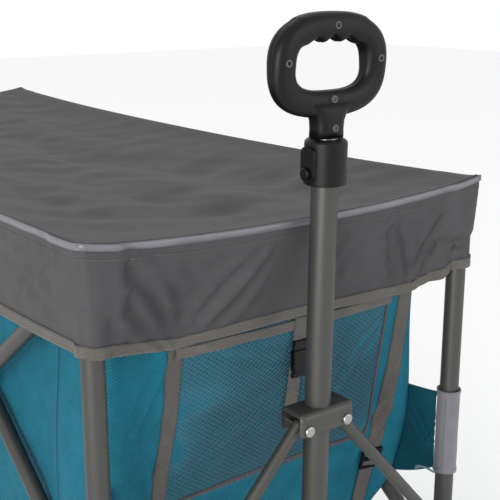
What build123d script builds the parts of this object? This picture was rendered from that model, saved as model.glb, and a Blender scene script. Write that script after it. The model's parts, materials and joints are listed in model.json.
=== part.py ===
"""Folding beach cart with a fabric basket, a fabric cover and a telescoping pull handle.

The frame is a set of steel tubes. Two rigid end frames stand on the wheels. On each side two
crossed pairs of arms join them, so that the cart folds lengthwise while the upper half of every
corner post slides up its lower half.
Units are millimetres. +X points forward to the pull handle, +Z up, and the origin is on the ground
under the middle of the whole cart.
"""
import os
from math import hypot, pi, sin

from build123d import *

# ---- driving dimensions -------------------------------------------------------------------------
POST_SPACING_X = 1057.0      # front post axis to rear post axis
POST_SPACING_Y = 423.0       # left post axis to right post axis
ORIGIN_TO_MIDDLE = 19.64     # how far the middle between the posts lies in front of the origin
SLEEVE_OD, SLEEVE_ID = 20.0, 17.6
LEG_OD, LEG_ID = 17.0, 14.0
ARM_OD, ARM_ID = 16.0, 13.6
LOWER_Z = 205.0              # height of the lower pivots and the cross tubes
UPPER_Z = 562.0              # height of the upper pivots
PIVOT_INSET = 26.0           # pivot axis to post axis, along X
OUTER_PLANE = -2.0           # arm planes, measured across from the post axis
INNER_PLANE = -20.0
PIN_D = 6.0
RUNNING = 0.05               # radial clearance of a pin or shaft in its hole
OPEN_PIVOT = 0.3             # radial clearance at the pivot that the joint tree leaves open
SLEEVE_TOP_Z = 590.0
SLEEVE_BOTTOM_Z = 224.0
LEG_TOP_Z = 575.0
COVER_TOP_Z = 600.0
VALANCE_HEIGHT = 95.0
COVER_OVERHANG = 14.0        # outside of the cover to post axis
CLOTH = 2.0
BASKET_HALF_WIDTH = 175.0
BASKET_TOP_Z = 560.0
BASKET_FLOOR_Z = 218.0       # underside of the floor
PANEL_TOP_INSET = 13.2       # outer face of an end panel behind the post axis, at the basket's top
PANEL_LEAN = 0.17            # how much an end panel leans inward, per unit of height
CUFF_Z = (282.0, 377.0)
HINGE_X, HINGE_Z, HINGE_Y = 23.5, 205.0, 180.0   # handle hinge, X measured from the front posts
HANDLE_LEAN = 1.1            # degrees, forward of upright
POLE_OD, POLE_ID = 24.0, 21.4
PULL_OD, PULL_ID = 20.8, 18.4
PULL_BOTTOM_Z = 240.0
STAY_OD = 12.0
BRACKET_Z = 408.0            # middle of the stay bracket
COLLAR_Z = (624.0, 663.0)
GRIP_Z = (682.0, 766.0)
GRIP_WIDTH = 126.0
GRIP_DEPTH = 24.0
REAR_WHEEL_R, REAR_WHEEL_WIDTH = 90.0, 48.0
FRONT_WHEEL_R, FRONT_WHEEL_WIDTH = 80.0, 40.0
CASTER_TRAIL = 35.0
REAR_AXLE_D, FRONT_AXLE_D, STEM_D = 12.0, 10.0, 12.0
STRAP_Y, STRAP_WIDTH = (-118.0, 163.0), 16.0
POCKET_Y, POCKET_WIDTH, POCKET_Z = 22.0, 262.0, (340.0, 482.0)
RIVET_Y, RIVET_D = 22.5, 5.0
COLLAR_D = 37.0
BUTTON_D, BUTTON_Z, BUTTON_TRAVEL = 10.0, 635.0, 3.0
OPENING = (75.0, 42.0)       # finger opening of the grip
SCREWS = ((-50.0, 722.0), (50.0, 722.0), (0.0, 757.0), (0.0, 692.0), (0.0, 673.0))
SPOKES = 6

# ---- values worked out from them ----------------------------------------------------------------
FRONT, REAR = 1, -1
LEFT, RIGHT = 1, -1
HALF_Y = POST_SPACING_Y / 2
FRONT_X = ORIGIN_TO_MIDDLE + POST_SPACING_X / 2
REAR_X = ORIGIN_TO_MIDDLE - POST_SPACING_X / 2
MIDDLE_X = ORIGIN_TO_MIDDLE
ARM_RUN = POST_SPACING_X / 2 - PIVOT_INSET
ARM_RISE = UPPER_Z - LOWER_Z
ARM_LENGTH = hypot(ARM_RUN, ARM_RISE)

parts = {}


def keep(name, *solids):
    """Adds a node made of one or more separate solids."""
    parts[name] = Compound(children=list(solids)) if len(solids) > 1 else solids[0]


def rod(start, end, diameter):
    """A round bar between two points."""
    a, b = Vector(*start), Vector(*end)
    place = Plane(origin=a, z_dir=b - a)
    size = (b - a).length
    return place * Cylinder(diameter / 2, size, align=(Align.CENTER, Align.CENTER, Align.MIN))


def tube(start, end, outer, inner):
    """A round tube between two points, open at both ends."""
    a, b = Vector(*start), Vector(*end)
    step = (b - a).normalized()
    low, high = a - step, b + step
    return rod(start, end, outer) - rod(tuple(low), tuple(high), inner)


def block(x, y, z):
    """A box given by its (low, high) limits along each axis, in either order."""
    low = [min(v) for v in (x, y, z)]
    size = [abs(v[1] - v[0]) for v in (x, y, z)]
    return Pos(*low) * Box(*size, align=(Align.MIN, Align.MIN, Align.MIN))


def soften(solid, edges, radius):
    """Rounds edges, or leaves them sharp where the rounding can't be made."""
    try:
        return fillet(edges, radius)
    except Exception:
        return solid


def side_name(side):
    return "left" if side == LEFT else "right"


# ---- end frames ---------------------------------------------------------------------------------
def bracket(end, side, height, plane, bore, whole):
    """A moulded bracket on a post, with the ear that carries an arm's pin.

    The ear lies beside the arm's plane. A whole bracket wraps the post, and the other kind saddles
    only its inner side, so that nothing stands out under the cover.
    """
    post_x = FRONT_X if end == FRONT else REAR_X
    outward = 14.0 if whole else 2.0
    body = block(
        (post_x - 14 * end, post_x + 11 * end),
        (side * (HALF_Y - 18), side * (HALF_Y + outward)),
        (height - 18, height + 18),
    )
    body = soften(body, body.edges().filter_by(Axis.Z), 3.0 if whole else 1.5)
    ear_y = (-18.0, -10.6) if plane == OUTER_PLANE else (-11.4, -4.0)
    ear = block(
        (post_x - 14 * end, post_x - PIVOT_INSET * end),
        (side * (HALF_Y + ear_y[0]), side * (HALF_Y + ear_y[1])),
        (height - 11, height + 11),
    )
    tip = rod(
        (post_x - PIVOT_INSET * end, side * (HALF_Y + ear_y[0]), height),
        (post_x - PIVOT_INSET * end, side * (HALF_Y + ear_y[1]), height),
        22.0,
    )
    body = body + ear + tip
    post = rod((post_x, side * HALF_Y, height - 30), (post_x, side * HALF_Y, height + 30), bore)
    return body - post


def pivot_pin(x, height, side, first, last, head_out):
    """A riveted pin along Y between two distances from the post axis, with a domed head at one end."""
    y0, y1 = side * (HALF_Y + first), side * (HALF_Y + last)
    pin = rod((x, y0, height), (x, y1, height), PIN_D)
    y_head = y1 if head_out else y0
    away = side if head_out else -side
    head = rod((x, y_head, height), (x, y_head + away * 3.0, height), 11.0)
    rim = head.faces().sort_by(Axis.Y)[-1 if away > 0 else 0].edges()
    return pin + soften(head, rim, 1.4)


def with_pin(body, end, side, height, plane):
    """Rivets an arm's pin into a bracket's ear: outward through an outer arm, inward through an inner one."""
    x = (FRONT_X if end == FRONT else REAR_X) - PIVOT_INSET * end
    if plane == OUTER_PLANE:
        return body + pivot_pin(x, height, side, -17.9, OUTER_PLANE + ARM_OD / 2 + 0.3, True)
    return body + pivot_pin(x, height, side, INNER_PLANE - ARM_OD / 2 - 0.3, -4.1, False)


def end_brackets(end, height, plane, bore, whole):
    """Both brackets of one end at one height, each with its pin."""
    brackets = []
    for side in (LEFT, RIGHT):
        body = bracket(end, side, height, plane, bore, whole)
        brackets.append(with_pin(body, end, side, height, plane))
    return brackets


def rear_frame():
    """Legs that run down to the axle, a cross tube, the axle and the lower brackets."""
    axle_z = REAR_WHEEL_R
    axle_reach = HALF_Y + 14.5 + REAR_WHEEL_WIDTH + 1.5
    legs = []
    for side in (LEFT, RIGHT):
        leg = tube((REAR_X, side * HALF_Y, 74), (REAR_X, side * HALF_Y, LEG_TOP_Z), LEG_OD, LEG_ID)
        hole = rod((REAR_X, side * HALF_Y - 20, axle_z), (REAR_X, side * HALF_Y + 20, axle_z), REAR_AXLE_D)
        legs.append(leg - hole)
    keep("rear_legs", *legs)
    keep("rear_axle", rod((REAR_X, -axle_reach, axle_z), (REAR_X, axle_reach, axle_z), REAR_AXLE_D))
    caps = []
    for side in (LEFT, RIGHT):
        cap = rod((REAR_X, side * axle_reach, axle_z), (REAR_X, side * (axle_reach + 6), axle_z), 26.0)
        rim = cap.faces().sort_by(Axis.Y)[-1 if side > 0 else 0].edges()
        caps.append(soften(cap, rim, 3.0))
    spacers = []
    for side in (LEFT, RIGHT):
        start, end = side * (HALF_Y + LEG_OD / 2 + 0.2), side * (HALF_Y + 14.2)
        spacers.append(tube((REAR_X, start, axle_z), (REAR_X, end, axle_z), 18.0, REAR_AXLE_D))
    keep("rear_axle_caps_and_spacers", *caps, *spacers)
    inner_face = HALF_Y - 18
    keep("rear_cross_tube", tube((REAR_X, -inner_face, LOWER_Z), (REAR_X, inner_face, LOWER_Z), 20, 17.6))
    keep("rear_lower_brackets", *end_brackets(REAR, LOWER_Z, OUTER_PLANE, LEG_OD, True))


def front_frame():
    """Short legs, a cross tube, the lower brackets with caster sockets, and the handle's ears."""
    legs = []
    for side in (LEFT, RIGHT):
        foot, top = (FRONT_X, side * HALF_Y, LOWER_Z), (FRONT_X, side * HALF_Y, LEG_TOP_Z)
        legs.append(tube(foot, top, LEG_OD, LEG_ID))
    keep("front_legs", *legs)
    inner_face = HALF_Y - 18
    cross_tube = tube((FRONT_X, -inner_face, LOWER_Z), (FRONT_X, inner_face, LOWER_Z), 20, 17.6)
    keep("front_cross_tube", cross_tube + handle_hinge())
    brackets = []
    for side in (LEFT, RIGHT):
        body = bracket(FRONT, side, LOWER_Z, INNER_PLANE, 1.0, True)
        body = body + rod((FRONT_X, side * HALF_Y, 180), (FRONT_X, side * HALF_Y, 204.5), 27.0)
        body = body - rod((FRONT_X, side * HALF_Y, 170), (FRONT_X, side * HALF_Y, 203), STEM_D + 2 * RUNNING)
        body = body - rod((FRONT_X, side * HALF_Y, LOWER_Z), (FRONT_X, side * HALF_Y, 240), LEG_OD)
        brackets.append(with_pin(body, FRONT, side, LOWER_Z, INNER_PLANE))
    keep("front_lower_brackets", *brackets)


def handle_hinge():
    """Pairs of ears to weld on the front cross tube, for the stays and the pole. Makes their bolts too."""
    x_axis = FRONT_X + HINGE_X
    ears = []
    bolts = []
    for y, half_gap in ((-HINGE_Y, 6.6), (0.0, 12.6), (HINGE_Y, 6.6)):
        for side in (-1, 1):
            y0, y1 = y + side * half_gap, y + side * (half_gap + 3.4)
            ear = block((FRONT_X, x_axis), (y0, y1), (HINGE_Z - 9, HINGE_Z + 9))
            ear = ear + rod((x_axis, y0, HINGE_Z), (x_axis, y1, HINGE_Z), 18.0)
            ear = ear - rod((FRONT_X, y - 20, HINGE_Z), (FRONT_X, y + 20, HINGE_Z), 20.0)
            ears.append(ear - rod((x_axis, y - 20, HINGE_Z), (x_axis, y + 20, HINGE_Z), PIN_D))
        inner, outer = half_gap + 3.5, half_gap + 6.0
        bolt = rod((x_axis, y - outer, HINGE_Z), (x_axis, y + outer, HINGE_Z), PIN_D)
        for side in (-1, 1):
            bolt = bolt + rod((x_axis, y + side * inner, HINGE_Z), (x_axis, y + side * outer, HINGE_Z), 10.0)
        bolts.append(bolt)
    keep("handle_hinge_bolts", *bolts)
    return ears


# ---- scissor arms -------------------------------------------------------------------------------
def arm(start_x, start_z, end_x, end_z, plane, side, bores):
    """One arm: a round tube with plugged, rounded ends, cross-drilled for its pins.

    bores lists how far along the arm each hole is, and its diameter.
    """
    y = side * (HALF_Y + plane)
    a, b = Vector(start_x, y, start_z), Vector(end_x, y, end_z)
    step = (b - a).normalized()
    body = rod(tuple(a), tuple(b), ARM_OD)
    for end in (a, b):
        body = body + Pos(*tuple(end)) * Sphere(ARM_OD / 2)
    half = (b - a).length / 2
    for first, last in ((12.0, half - 12.0), (half + 12.0, 2 * half - 12.0)):
        low, high = a + step * first, a + step * last
        body = body - rod(tuple(low), tuple(high), ARM_ID)
    for distance, diameter in bores:
        p = a + step * distance
        body = body - rod((p.X, y - 12, p.Z), (p.X, y + 12, p.Z), diameter)
    return body


def arms():
    """Four arms a side: a rear pair and a front pair, each crossed and pinned in the middle."""
    running = PIN_D + 2 * RUNNING
    open_hole = PIN_D + 2 * OPEN_PIVOT
    rear_pivot, front_pivot = MIDDLE_X - ARM_RUN, MIDDLE_X + ARM_RUN
    half, whole = ARM_LENGTH / 2, ARM_LENGTH
    for side in (LEFT, RIGHT):
        name = side_name(side)
        keep(f"rear_rising_arm_{name}", arm(
            rear_pivot, LOWER_Z, MIDDLE_X, UPPER_Z, OUTER_PLANE, side,
            ((0, running), (half, PIN_D), (whole, PIN_D))))
        keep(f"rear_falling_arm_{name}", arm(
            rear_pivot, UPPER_Z, MIDDLE_X, LOWER_Z, INNER_PLANE, side,
            ((0, running), (half, running), (whole, PIN_D))))
        keep(f"front_falling_arm_{name}", arm(
            MIDDLE_X, UPPER_Z, front_pivot, LOWER_Z, INNER_PLANE, side,
            ((0, running), (half, PIN_D), (whole, running))))
        keep(f"front_rising_arm_{name}", arm(
            MIDDLE_X, LOWER_Z, front_pivot, UPPER_Z, OUTER_PLANE, side,
            ((0, open_hole), (half, running), (whole, running))))
    middle_z = (LOWER_Z + UPPER_Z) / 2
    rear_cross, front_cross = MIDDLE_X - ARM_RUN / 2, MIDDLE_X + ARM_RUN / 2
    keep("rear_arm_pins", *arm_pins(rear_cross, middle_z), *arm_pins(MIDDLE_X, UPPER_Z))
    keep("front_arm_pins", *arm_pins(front_cross, middle_z))
    keep("lower_middle_pins", *arm_pins(MIDDLE_X, LOWER_Z))
    reach = HALF_Y + INNER_PLANE - ARM_OD / 2 - 3.3
    keep("middle_cross_tube", tube((MIDDLE_X, -reach, LOWER_Z), (MIDDLE_X, reach, LOWER_Z), 16, 13.6))


def arm_pins(x, z):
    """One riveted pin a side, through both arms that meet at one pivot."""
    outer_face, inner_face = OUTER_PLANE + ARM_OD / 2 + 0.3, INNER_PLANE - ARM_OD / 2 - 0.3
    pins = []
    for side in (LEFT, RIGHT):
        y_in = side * (HALF_Y + inner_face)
        pin = pivot_pin(x, z, side, inner_face, outer_face, True)
        pins.append(pin + rod((x, y_in, z), (x, y_in - side * 3.0, z), 11.0))
    return pins


# ---- upper posts --------------------------------------------------------------------------------
def uppers():
    """The sliding upper half of each post, its bracket, its cap and the cuff that holds the basket."""
    for end, word, plane in ((REAR, "rear", INNER_PLANE), (FRONT, "front", OUTER_PLANE)):
        post_x = FRONT_X if end == FRONT else REAR_X
        sleeves = []
        cuffs = []
        caps = []
        for side in (LEFT, RIGHT):
            y = side * HALF_Y
            sleeves.append(tube((post_x, y, SLEEVE_BOTTOM_Z), (post_x, y, SLEEVE_TOP_Z), SLEEVE_OD, SLEEVE_ID))
            cap = rod((post_x, y, SLEEVE_TOP_Z), (post_x, y, SLEEVE_TOP_Z + 5), 21.0)
            caps.append(cap + rod((post_x, y, SLEEVE_TOP_Z - 12), (post_x, y, SLEEVE_TOP_Z), SLEEVE_ID))
            cuffs.append(cuff(end, post_x, side))
        keep(f"{word}_sleeves", *sleeves)
        keep(f"{word}_post_caps", *caps)
        keep(f"{word}_cuffs", *cuffs)
        keep(f"{word}_upper_brackets", *end_brackets(end, UPPER_Z, plane, SLEEVE_OD, False))


def cuff(end, post_x, side):
    """A webbing cuff round a post, with the fabric flap that joins it to the basket's corner."""
    low, high = CUFF_Z
    ring = tube((post_x, side * HALF_Y, low), (post_x, side * HALF_Y, high), SLEEVE_OD + 4.6, SLEEVE_OD)
    panel_x = panel_face_x((low + high) / 2, end)
    root = Vector(panel_x - end * 2, side * (BASKET_HALF_WIDTH + 1.5))
    tip = Vector(post_x - end * 9, side * (HALF_Y - 7))
    along = (tip - root).normalized()
    across = Vector(-along.Y, along.X) * 1.25
    outline = [root + across, tip + across, tip - across, root - across]
    face = make_face(Polyline(*[(p.X, p.Y) for p in outline], close=True))
    flap = Pos(0, 0, low + 2) * extrude(face, high - low - 4)
    return ring + flap - rod((post_x, side * HALF_Y, low), (post_x, side * HALF_Y, high), SLEEVE_OD)


# ---- basket and cover ---------------------------------------------------------------------------
def panel_face_x(z, end):
    """Where the outer face of an end panel is, at one height."""
    post_x = FRONT_X if end == FRONT else REAR_X
    return post_x - end * (PANEL_TOP_INSET + PANEL_LEAN * (BASKET_TOP_Z - z))


def side_profile(back, front, low, high, inset=0.0):
    """A four-sided outline in the XZ plane whose ends follow the two end panels."""
    points = [
        (panel_face_x(low, REAR) + back + inset, low),
        (panel_face_x(low, FRONT) - front - inset, low),
        (panel_face_x(high, FRONT) - front - inset, high),
        (panel_face_x(high, REAR) + back + inset, high),
    ]
    return make_face(Plane.XZ * Polyline(*points, close=True))


def end_panel(end):
    """A flat fabric panel between the posts of one end, leaning inward towards its bottom."""
    low, high = BASKET_FLOOR_Z, BASKET_TOP_Z
    points = []
    for z, depth in ((low, 0.0), (low, 2.0), (high, 2.0), (high, 0.0)):
        points.append((panel_face_x(z, end) - end * depth, z))
    face = make_face(Plane.XZ * Polyline(*points, close=True))
    return extrude(face, BASKET_HALF_WIDTH, both=True)


def basket():
    """End panels, side panels and the floor."""
    keep("front_panel", end_panel(FRONT))
    keep("rear_panel", end_panel(REAR))
    for side in (LEFT, RIGHT):
        face = side_profile(2.4, 2.4, BASKET_FLOOR_Z, BASKET_TOP_Z)
        wall = Pos(0, side * (BASKET_HALF_WIDTH - 1), 0) * extrude(face, 1.0, both=True)
        keep(f"side_panel_{side_name(side)}", wall)
    floor_face = side_profile(2.4, 2.4, BASKET_FLOOR_Z, BASKET_FLOOR_Z + 6)
    keep("basket_floor", extrude(floor_face, BASKET_HALF_WIDTH - 2.4, both=True))


def on_front_panel(z, stand_off):
    """A point on the front panel's outer face, or that far in front of it."""
    return panel_face_x(z, FRONT) + stand_off


def front_strip(y, z_low, z_high, width, start, thickness):
    """A flat strip that lies on the front panel, from one height to another."""
    points = [
        (on_front_panel(z_low, start), z_low),
        (on_front_panel(z_low, start + thickness), z_low),
        (on_front_panel(z_high, start + thickness), z_high),
        (on_front_panel(z_high, start), z_high),
    ]
    face = make_face(Plane.XZ * Polyline(*points, close=True))
    return Pos(0, y, 0) * extrude(face, width / 2, both=True)


def front_trim():
    """The webbing straps, the flat mesh pocket between them and the small buckles."""
    straps = [front_strip(y, 232, 556, STRAP_WIDTH, 0.2, 1.4) for y in STRAP_Y]
    keep("front_straps", *straps)
    keep("mesh_pocket", front_strip(POCKET_Y, *POCKET_Z, POCKET_WIDTH, 0.2, 1.2))
    keep("pocket_strap", front_strip(POCKET_Y, 425, 500, 12.0, 1.7, 1.2))
    buckles = [front_strip(POCKET_Y, 432, 466, 17.0, 3.1, 5.5)]
    for y in STRAP_Y:
        buckles.append(front_strip(y, 268, 304, 24.0, 1.9, 6.5))
    keep("strap_buckles", *buckles)


def cover():
    """One sewn cover: a nearly flat top and a valance all round, open underneath."""
    half_x, half_y = POST_SPACING_X / 2 + COVER_OVERHANG, HALF_Y + COVER_OVERHANG
    low = COVER_TOP_Z - VALANCE_HEIGHT
    outside = block((-half_x, half_x), (-half_y, half_y), (low, COVER_TOP_Z))
    outside = soften(outside, outside.edges().filter_by(Axis.Z), 7.0)
    inner_x, inner_y = half_x - CLOTH, half_y - CLOTH
    inside = block((-inner_x, inner_x), (-inner_y, inner_y), (low - 5, COVER_TOP_Z - CLOTH))
    inside = soften(inside, inside.edges().filter_by(Axis.Z), 5.0)
    keep("cover", Pos(MIDDLE_X, 0, 0) * (outside - inside))


# ---- pull handle --------------------------------------------------------------------------------
def lean(solid):
    """Tilts a handle piece, built upright on its hinge line, forward to its resting angle."""
    hinge = (FRONT_X + HINGE_X, 0, HINGE_Z)
    return solid.rotate(Axis(hinge, (0, 1, 0)), HANDLE_LEAN)


def stays():
    """Two tubes from the hinge up to the bracket, each with a drilled knuckle at both ends."""
    x = FRONT_X + HINGE_X
    top_z = BRACKET_Z - 4
    foot, head = (x, HINGE_Y, HINGE_Z + 22), (x, RIVET_Y, top_z)
    body = rod(foot, head, STAY_OD) + rod((x, HINGE_Y, HINGE_Z), foot, STAY_OD)
    body = body + Pos(*foot) * Sphere(STAY_OD / 2) + Pos(*head) * Sphere(STAY_OD / 2)
    body = body + rod((x, HINGE_Y - 6, HINGE_Z), (x, HINGE_Y + 6, HINGE_Z), 15.0)
    body = body - rod((x, HINGE_Y - 9, HINGE_Z), (x, HINGE_Y + 9, HINGE_Z), PIN_D + 2 * RUNNING)
    body = lean(body - rod((x - 9, RIVET_Y, top_z), (x + 9, RIVET_Y, top_z), RIVET_D))
    keep("handle_stay_left", body)
    keep("handle_stay_right", mirror(body, Plane.XZ))
    rivets = []
    for y in (-RIVET_Y, RIVET_Y):
        rivet = rod((x - 16, y, top_z), (x + 16, y, top_z), RIVET_D)
        for face_x, away in ((x + 16, 1), (x - 16, -1)):
            head = rod((face_x, y, top_z), (face_x + away * 2.4, y, top_z), 10.5)
            rim = head.faces().sort_by(Axis.X)[-1 if away > 0 else 0].edges()
            rivet = rivet + soften(head, rim, 1.6)
        rivets.append(lean(rivet))
    keep("bracket_rivets", *rivets)


def stay_bracket():
    """A pressed channel, open downward: the pole drops through its top and the stays pivot inside."""
    x = FRONT_X + HINGE_X
    outside = block((x - 16, x + 16), (-32, 32), (BRACKET_Z - 12, BRACKET_Z + 12))
    outside = soften(outside, outside.edges().filter_by(Axis.X), 5.0)
    outside = soften(outside, outside.edges().filter_by(Axis.Y).group_by(Axis.Z)[-1], 6.0)
    inside = block((x - 13, x + 13), (-40, 40), (BRACKET_Z - 20, BRACKET_Z + 9))
    body = outside - inside - rod((x, 0, BRACKET_Z), (x, 0, BRACKET_Z + 20), POLE_OD)
    for y in (-RIVET_Y, RIVET_Y):
        body = body - rod((x - 20, y, BRACKET_Z - 4), (x + 20, y, BRACKET_Z - 4), RIVET_D)
    keep("stay_bracket", lean(body))


def pole():
    """The outer tube with the button's hole, and the collar at its top."""
    x = FRONT_X + HINGE_X
    low, high = HINGE_Z, COLLAR_Z[1] - 5
    outer = rod((x, 0, low), (x, 0, high), POLE_OD) + Pos(x, 0, low) * Sphere(POLE_OD / 2)
    outer = outer - rod((x, 0, low + 20), (x, 0, high + 5), POLE_ID)
    outer = outer - rod((x, -20, HINGE_Z), (x, 20, HINGE_Z), PIN_D + 2 * RUNNING)
    body = rod((x, 0, COLLAR_Z[0]), (x, 0, COLLAR_Z[1]), COLLAR_D)
    body = soften(body, body.edges().filter_by(GeomType.CIRCLE).sort_by(Axis.Z)[-1], 4.0)
    body = soften(body, body.edges().filter_by(GeomType.CIRCLE).sort_by(Axis.Z)[0], 1.2)
    boss = block((x - 8, x + 8), (-COLLAR_D / 2 - 2.5, -POLE_OD / 2), (COLLAR_Z[0] + 4, COLLAR_Z[1] - 6))
    boss = soften(boss, boss.edges().filter_by(Axis.Y), 5.0)
    body = body + boss
    body = body - rod((x, 0, COLLAR_Z[0] - 1), (x, 0, high), POLE_OD)
    body = body - rod((x, 0, high - 1), (x, 0, COLLAR_Z[1] + 1), PULL_OD + 0.7)
    pocket = rod((x, -COLLAR_D, BUTTON_Z), (x, -POLE_OD / 2 - 0.6, BUTTON_Z), BUTTON_D + 0.7)
    keep("pole_collar", lean(body - pocket))
    keep("pole_tube", lean(outer))
    outer_face = -(COLLAR_D / 2 + 2.5 + BUTTON_TRAVEL + 0.6)
    button = rod((x, outer_face, BUTTON_Z), (x, outer_face + 4.4, BUTTON_Z), BUTTON_D)
    rim = button.faces().sort_by(Axis.Y)[0].edges()
    keep("release_button", lean(soften(button, rim, 1.2)))


def grip():
    """The pull tube and a closed loop grip of two moulded halves, screwed together."""
    x = FRONT_X + HINGE_X
    keep("pull_tube", lean(tube((x, 0, PULL_BOTTOM_Z), (x, 0, GRIP_Z[0] + 6), PULL_OD, PULL_ID)))
    low, high = GRIP_Z
    middle_z = (low + high) / 2
    outline = RectangleRounded(GRIP_WIDTH, high - low, 36.0)
    neck_low, neck_high = COLLAR_Z[1] + 0.8 - middle_z, low + 12 - middle_z
    neck = Pos(0, (neck_low + neck_high) / 2) * Rectangle(26.0, neck_high - neck_low)
    opening = Pos(0, 1) * RectangleRounded(OPENING[0], OPENING[1], 16.0)
    loop = extrude((outline + neck) - opening, GRIP_DEPTH / 2, both=True)
    flat = loop.faces().filter_by(Axis.Z).sort_by(Axis.Z)
    loop = soften(loop, flat[0].edges() + flat[-1].edges(), 6.0)
    loop = Plane(origin=(x, 0, middle_z), x_dir=(0, 1, 0), z_dir=(1, 0, 0)) * loop
    bore = rod((x, 0, low - 40), (x, 0, low + 6), PULL_OD)
    seam = block((x - 30, x), (-100, 100), (low - 60, high + 20))
    screws = []
    front_half = loop - bore - seam
    for y, z in SCREWS:
        recess = rod((x + 4, y, z), (x + 20, y, z), 6.4)
        front_half = front_half - recess
        screws.append(lean(rod((x + 4, y, z), (x + 8.5, y, z), 5.6)))
    keep("grip_front_half", lean(front_half))
    keep("grip_rear_half", lean((loop - bore) & seam))
    keep("grip_screws", *screws)


# ---- wheels -------------------------------------------------------------------------------------
def wheel(name, centre, radius, width, bore):
    """A moulded hub with openings between its spokes, and a grooved tyre on it."""
    x, y, z = centre
    rim_r = radius * 0.70
    half = width / 2
    tread = [(rim_r, -half + 3), (radius - 7, -half), (radius, -half + 8)]
    for groove in (-0.22, 0.22):
        g = groove * width
        tread += [(radius, g - 2), (radius - 2.5, g - 1.4), (radius - 2.5, g + 1.4), (radius, g + 2)]
    tread += [(radius, half - 8), (radius - 7, half), (rim_r, half - 3)]
    tyre = revolve(make_face(Plane.XZ * Polyline(*tread, close=True)), Axis.Z)
    flange, web = half - 4, 5.0
    rim_in, boss_r = rim_r - 7, bore / 2 + 9
    section = [
        (bore / 2 + RUNNING, -half), (boss_r, -half), (boss_r, -web), (rim_in, -web), (rim_in, -flange),
        (rim_r, -flange), (rim_r, flange), (rim_in, flange), (rim_in, web), (boss_r, web), (boss_r, half),
        (bore / 2 + RUNNING, half),
    ]
    hub = revolve(make_face(Plane.XZ * Polyline(*section, close=True)), Axis.Z)
    window_r = (rim_in + boss_r) / 2
    reach = min((rim_in - boss_r) / 2 - 2.5, window_r * sin(pi / SPOKES) - 3.5)
    for turn in range(SPOKES):
        place = Rot(0, 0, 360.0 / SPOKES * turn) * Pos(window_r, 0, 0)
        hub = hub - place * Cylinder(reach, 40)
    for piece, solid in (("tyre", tyre), ("hub", hub)):
        keep(f"{name}_{piece}", Pos(x, y, z) * (Rot(90, 0, 0) * solid))


def caster_fork(side):
    """A fork on a swivel stem, with the wheel's bolt through its cheeks."""
    y, axle_x = side * HALF_Y, FRONT_X - CASTER_TRAIL
    top = 2 * FRONT_WHEEL_R + 5
    crown = block((axle_x - 16, FRONT_X + 16), (y - 27, y + 27), (top, top + 7))
    crown = soften(crown, crown.edges().filter_by(Axis.Z), 12.0)
    body = crown + rod((FRONT_X, y, top), (FRONT_X, y, 178.5), 24.0)
    body = body + rod((FRONT_X, y, 178), (FRONT_X, y, 202.5), STEM_D)
    for y0 in (-27.0, 23.0):
        outline = [
            (axle_x - 14, top + 3), (axle_x - 12, FRONT_WHEEL_R), (axle_x + 12, FRONT_WHEEL_R),
            (FRONT_X - 4, top + 3),
        ]
        face = make_face(Plane.XZ * Polyline(*outline, close=True))
        cheek = Pos(0, y + y0 + 4, 0) * extrude(face, 4.0)
        foot = rod((axle_x, y + y0, FRONT_WHEEL_R), (axle_x, y + y0 + 4, FRONT_WHEEL_R), 24.0)
        body = body + cheek + foot
    body = body - rod((axle_x, y - 40, FRONT_WHEEL_R), (axle_x, y + 40, FRONT_WHEEL_R), FRONT_AXLE_D)
    bolt = rod((axle_x, y - 30, FRONT_WHEEL_R), (axle_x, y + 30, FRONT_WHEEL_R), FRONT_AXLE_D)
    for y0, y1 in ((-31.5, -27.2), (27.2, 31.5)):
        bolt = bolt + rod((axle_x, y + y0, FRONT_WHEEL_R), (axle_x, y + y1, FRONT_WHEEL_R), 16.0)
    keep(f"caster_fork_{side_name(side)}", body, bolt)


def running_gear():
    for side in (LEFT, RIGHT):
        name = side_name(side)
        caster_fork(side)
        centre = (FRONT_X - CASTER_TRAIL, side * HALF_Y, FRONT_WHEEL_R)
        wheel(f"front_{name}", centre, FRONT_WHEEL_R, FRONT_WHEEL_WIDTH, FRONT_AXLE_D)
        rear_y = side * (HALF_Y + 14.5 + REAR_WHEEL_WIDTH / 2)
        wheel(f"rear_{name}", (REAR_X, rear_y, REAR_WHEEL_R), REAR_WHEEL_R, REAR_WHEEL_WIDTH, REAR_AXLE_D)


def main():
    rear_frame()
    front_frame()
    arms()
    uppers()
    basket()
    front_trim()
    cover()
    stays()
    stay_bracket()
    pole()
    grip()
    running_gear()
    os.makedirs("parts", exist_ok=True)
    for name, solid in parts.items():
        export_step(solid, f"parts/{name}.step")


main()
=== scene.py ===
"""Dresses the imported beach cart: cloth, webbing, net, grip, tyres, finishes, floor, light and camera."""
import json
import math
import bmesh
import bpy
from bpy.props import FloatProperty, FloatVectorProperty, IntProperty, PointerProperty
from mathutils import Matrix, Vector, noise


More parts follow.
